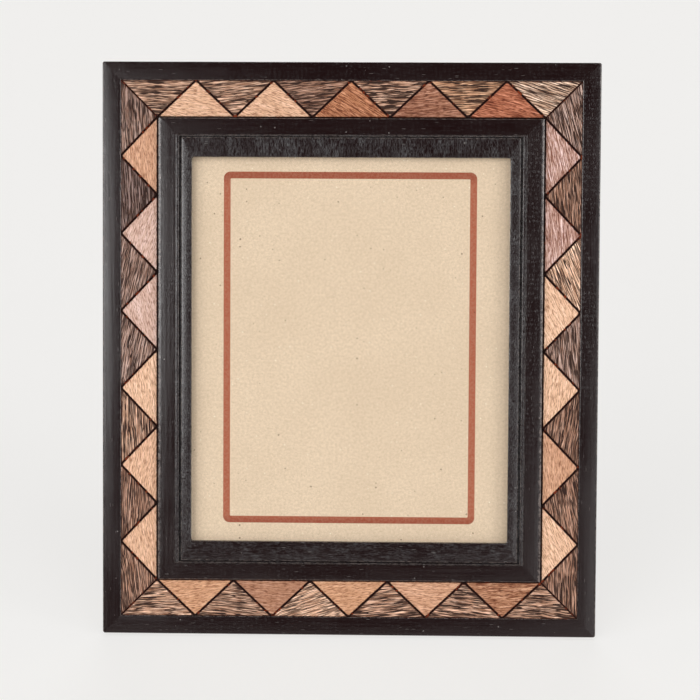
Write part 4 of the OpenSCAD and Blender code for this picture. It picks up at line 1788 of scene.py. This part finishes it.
@dataclass(frozen=True)
class Softbox:
    """A large, distant soft light.

    Attributes:
        azimuth: Its direction from the front, positive to the right, in degrees.
        elevation: Its height above the horizon in degrees.
        spread: How wide it looks from the object, in degrees.
        light: What it gives a surface that faces it, as a share of full exposure.
        distance: How far off it hangs, in metres, which its light doesn't depend on.
    """

    name: str
    azimuth: float
    elevation: float
    spread: float
    light: float
    distance: float = 3.0

    def build(self) -> None:
        """Adds the light."""
        lamp = bpy.data.lights.new(self.name, "SUN")
        lamp.energy = self.light * math.pi
        lamp.angle = math.radians(self.spread)
        turn, rise = math.radians(self.azimuth), math.radians(self.elevation)
        towards = Vector((math.sin(turn) * math.cos(rise), -math.cos(turn) * math.cos(rise),
                          math.sin(rise)))
        made = place_in_scene(self.name, lamp)
        made.rotation_mode = "QUATERNION"
        made.rotation_quaternion = towards.to_track_quat("Z", "Y")
        made.location = towards * self.distance


@dataclass
class Studio:
    """The floor, the lights and the camera of the product picture.

    Attributes:
        room_light: The even light of the room, as a share of full exposure.
        floor_half: Half the floor's width, in metres.
        distance: Distance of the camera from the frame's back, in millimetres.
        azimuth: The camera's direction to the right of the frame's own normal, in degrees.
        above_normal: The camera's direction above that normal.
        roll: How far the camera is turned about its own axis.
        aim: Where it aims on the frame's back, to the right of and above the middle.
        lens: Its focal length on a sensor of the given width.
        clip: The nearest and the furthest that it sees, in metres.
    """

    floor: Material
    room_light: float = 0.02
    floor_half: float = 25.0
    distance: float = 1300.0
    azimuth: float = 1.18
    above_normal: float = 2.434
    roll: float = 0.321
    aim: Pair = (-0.16, -0.08)
    lens: float = 86.55
    sensor: float = 36.0
    clip: Pair = (0.01, 100.0)
    softboxes: tuple[Softbox, ...] = (
        Softbox("softbox_left", -17.5, 14.5, 12.0, 0.075),
        Softbox("softbox_left_outer", -27.0, 14.5, 14.0, 0.10),
        Softbox("softbox_mid_left", -38.0, 14.5, 16.0, 0.14),
        Softbox("softbox_far_left", -58.0, 15.0, 20.0, 0.26),
        Softbox("softbox_high_left", -38.0, 36.0, 24.0, 0.097),
        Softbox("softbox_right", 27.0, 15.0, 20.0, 0.08),
        Softbox("softbox_low_right", 14.0, 3.0, 12.0, 0.034),
        Softbox("softbox_far_right", 62.0, 14.0, 26.0, 0.42),
        Softbox("softbox_high_right", 38.0, 36.0, 24.0, 0.097),
        Softbox("softbox_top", 0.0, 70.0, 34.0, 0.12),
        Softbox("softbox_behind", 180.0, 24.0, 40.0, 0.36),
    )

    def build_floor(self) -> None:
        """Lays the pale floor."""
        reach = self.floor_half
        mesh = bpy.data.meshes.new("studio_floor")
        mesh.from_pydata([(-reach, -reach, 0), (reach, -reach, 0), (reach, reach, 0),
                          (-reach, reach, 0)], [], [(0, 1, 2, 3)])
        mesh.materials.append(self.floor)
        made = place_in_scene("studio_floor", mesh)

    def build_light(self) -> None:
        """Sets the room's even light and the softboxes, and shows the camera a pale backdrop."""
        scene = bpy.context.scene
        scene.world = bpy.data.worlds.new("studio_room")
        scene.world.use_nodes = True
        bench = Bench(scene.world.node_tree)
        bench.tree.nodes.clear()
        room, backdrop = (bench.node("ShaderNodeBackground", {0: colour, 1: light}).outputs[0]
                          for colour, light in ((Shell.WHITE, self.room_light), (BACKDROP, 1.0)))
        seen = bench.node("ShaderNodeLightPath").outputs["Is Camera Ray"]
        both = bench.node("ShaderNodeMixShader", {0: seen, 1: room, 2: backdrop})
        bench.node("ShaderNodeOutputWorld", {"Surface": both.outputs[0]})
        for softbox in self.softboxes:
            softbox.build()
        scene.view_settings.view_transform = "Standard"
        scene.view_settings.look = "None"

    def build_camera(self) -> None:
        """Places the camera where the photograph was taken from."""
        angles = (self.azimuth, self.above_normal, self.roll)
        turn, rise, roll = (math.radians(angle) for angle in angles)
        front = Vector((0, -math.cos(LEAN), math.sin(LEAN)))
        upright, across = Vector(UP_THE_FRAME), Vector(TO_THE_RIGHT)
        back = ((across * math.sin(turn) + front * math.cos(turn)) * math.cos(rise)
                + upright * math.sin(rise))
        level = across * math.cos(turn) - front * math.sin(turn)
        over = back.cross(level)
        right = level * math.cos(roll) + over * math.sin(roll)
        up = over * math.cos(roll) - level * math.sin(roll)
        spot = STANCE @ Vector((self.aim[0], 0, self.aim[1])) + back * self.distance * MM
        data = bpy.data.cameras.new("product_camera")
        data.lens, data.sensor_width = self.lens, self.sensor
        data.clip_start, data.clip_end = self.clip
        made = place_in_scene("product_camera", data)
        axes = Matrix((right, up, back)).transposed().to_4x4()
        made.matrix_world = Matrix.Translation(spot) @ axes
        bpy.context.scene.camera = made

    def build(self) -> None:
        """Builds the whole studio."""
        self.build_floor()
        self.build_light()
        self.build_camera()
        LOG.info("studio: floor, %d softboxes and the camera", len(self.softboxes))


def carried_finishes() -> dict[Slot, Material]:
    """Builds the finishes of the CAD nodes that keep their shape.

    Returns:
        The material of each slot.
    """
    finishes = {
        Slot.GLASS: ClearGlass(),
        Slot.BRASS: PlatedMetal("brass_plate", srgb(222, 186, 112), srgb(190, 150, 84),
                                srgb(120, 88, 48), 0.32),
        Slot.STEEL: PlatedMetal("nickel_plate", srgb(206, 204, 200), srgb(170, 168, 164),
                                srgb(112, 104, 96), 0.3),
        Slot.BACK: PressedBoard("hardboard_back", srgb(98, 70, 48), srgb(74, 52, 36),
                                srgb(132, 98, 68), 0.6, 0.05),
        Slot.FILLER: PressedBoard("filler_board", srgb(178, 150, 116), srgb(150, 122, 92),
                                  srgb(204, 180, 146), 0.85, 0.04),
        Slot.LEG: PressedBoard("painted_leg", srgb(30, 25, 24), srgb(22, 18, 18),
                               srgb(58, 48, 44), 0.58, 0.03),
    }
    return {slot: finish.material() for slot, finish in finishes.items()}


def slip_lacquers() -> dict[Side, Material]:
    """Makes the slips' lacquer, sanded upright, but along the bottom slip, its grey partly sanding
    haze and partly painted sheen, most at the top and least at the bottom.

    Returns:
        A material for each side.
    """
    sanding = {Side.BOTTOM: (0.29, (7.0, 0.8)), Side.RIGHT: (0.5, (2.4, 0.8)),
               Side.TOP: (0.55, (0.8, 2.4)), Side.LEFT: (0.45, (2.4, 0.8))}
    return {side: BlackLacquer(f"sanded_lacquer_{side.label}", haze_and_sheen_share=haze_and_sheen,
                               stroke=stroke).material()
            for side, (haze_and_sheen, stroke) in sanding.items()}


def main() -> None:
    """Builds the dressed frame and its studio."""
    logging.basicConfig(level=logging.INFO, format="%(name)s: %(message)s")
    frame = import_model()
    Mouldings(SIZES, BlackLacquer().material(), slip_lacquers(),
              RawRailBack().material()).build()
    woods = (PalmWood().material(), LightWood().material())
    InlayBand(SIZES, *woods, JointFiller().material()).build()
    print_line = KraftCard("printed_line", printed=True)
    PictureCard(SIZES, KraftCard().material(), print_line.material()).build()
    CarriedNodes(frame["nodes"], carried_finishes()).dress()
    Studio(StudioFloor().material()).build()


if __name__ == "__main__":
    main()
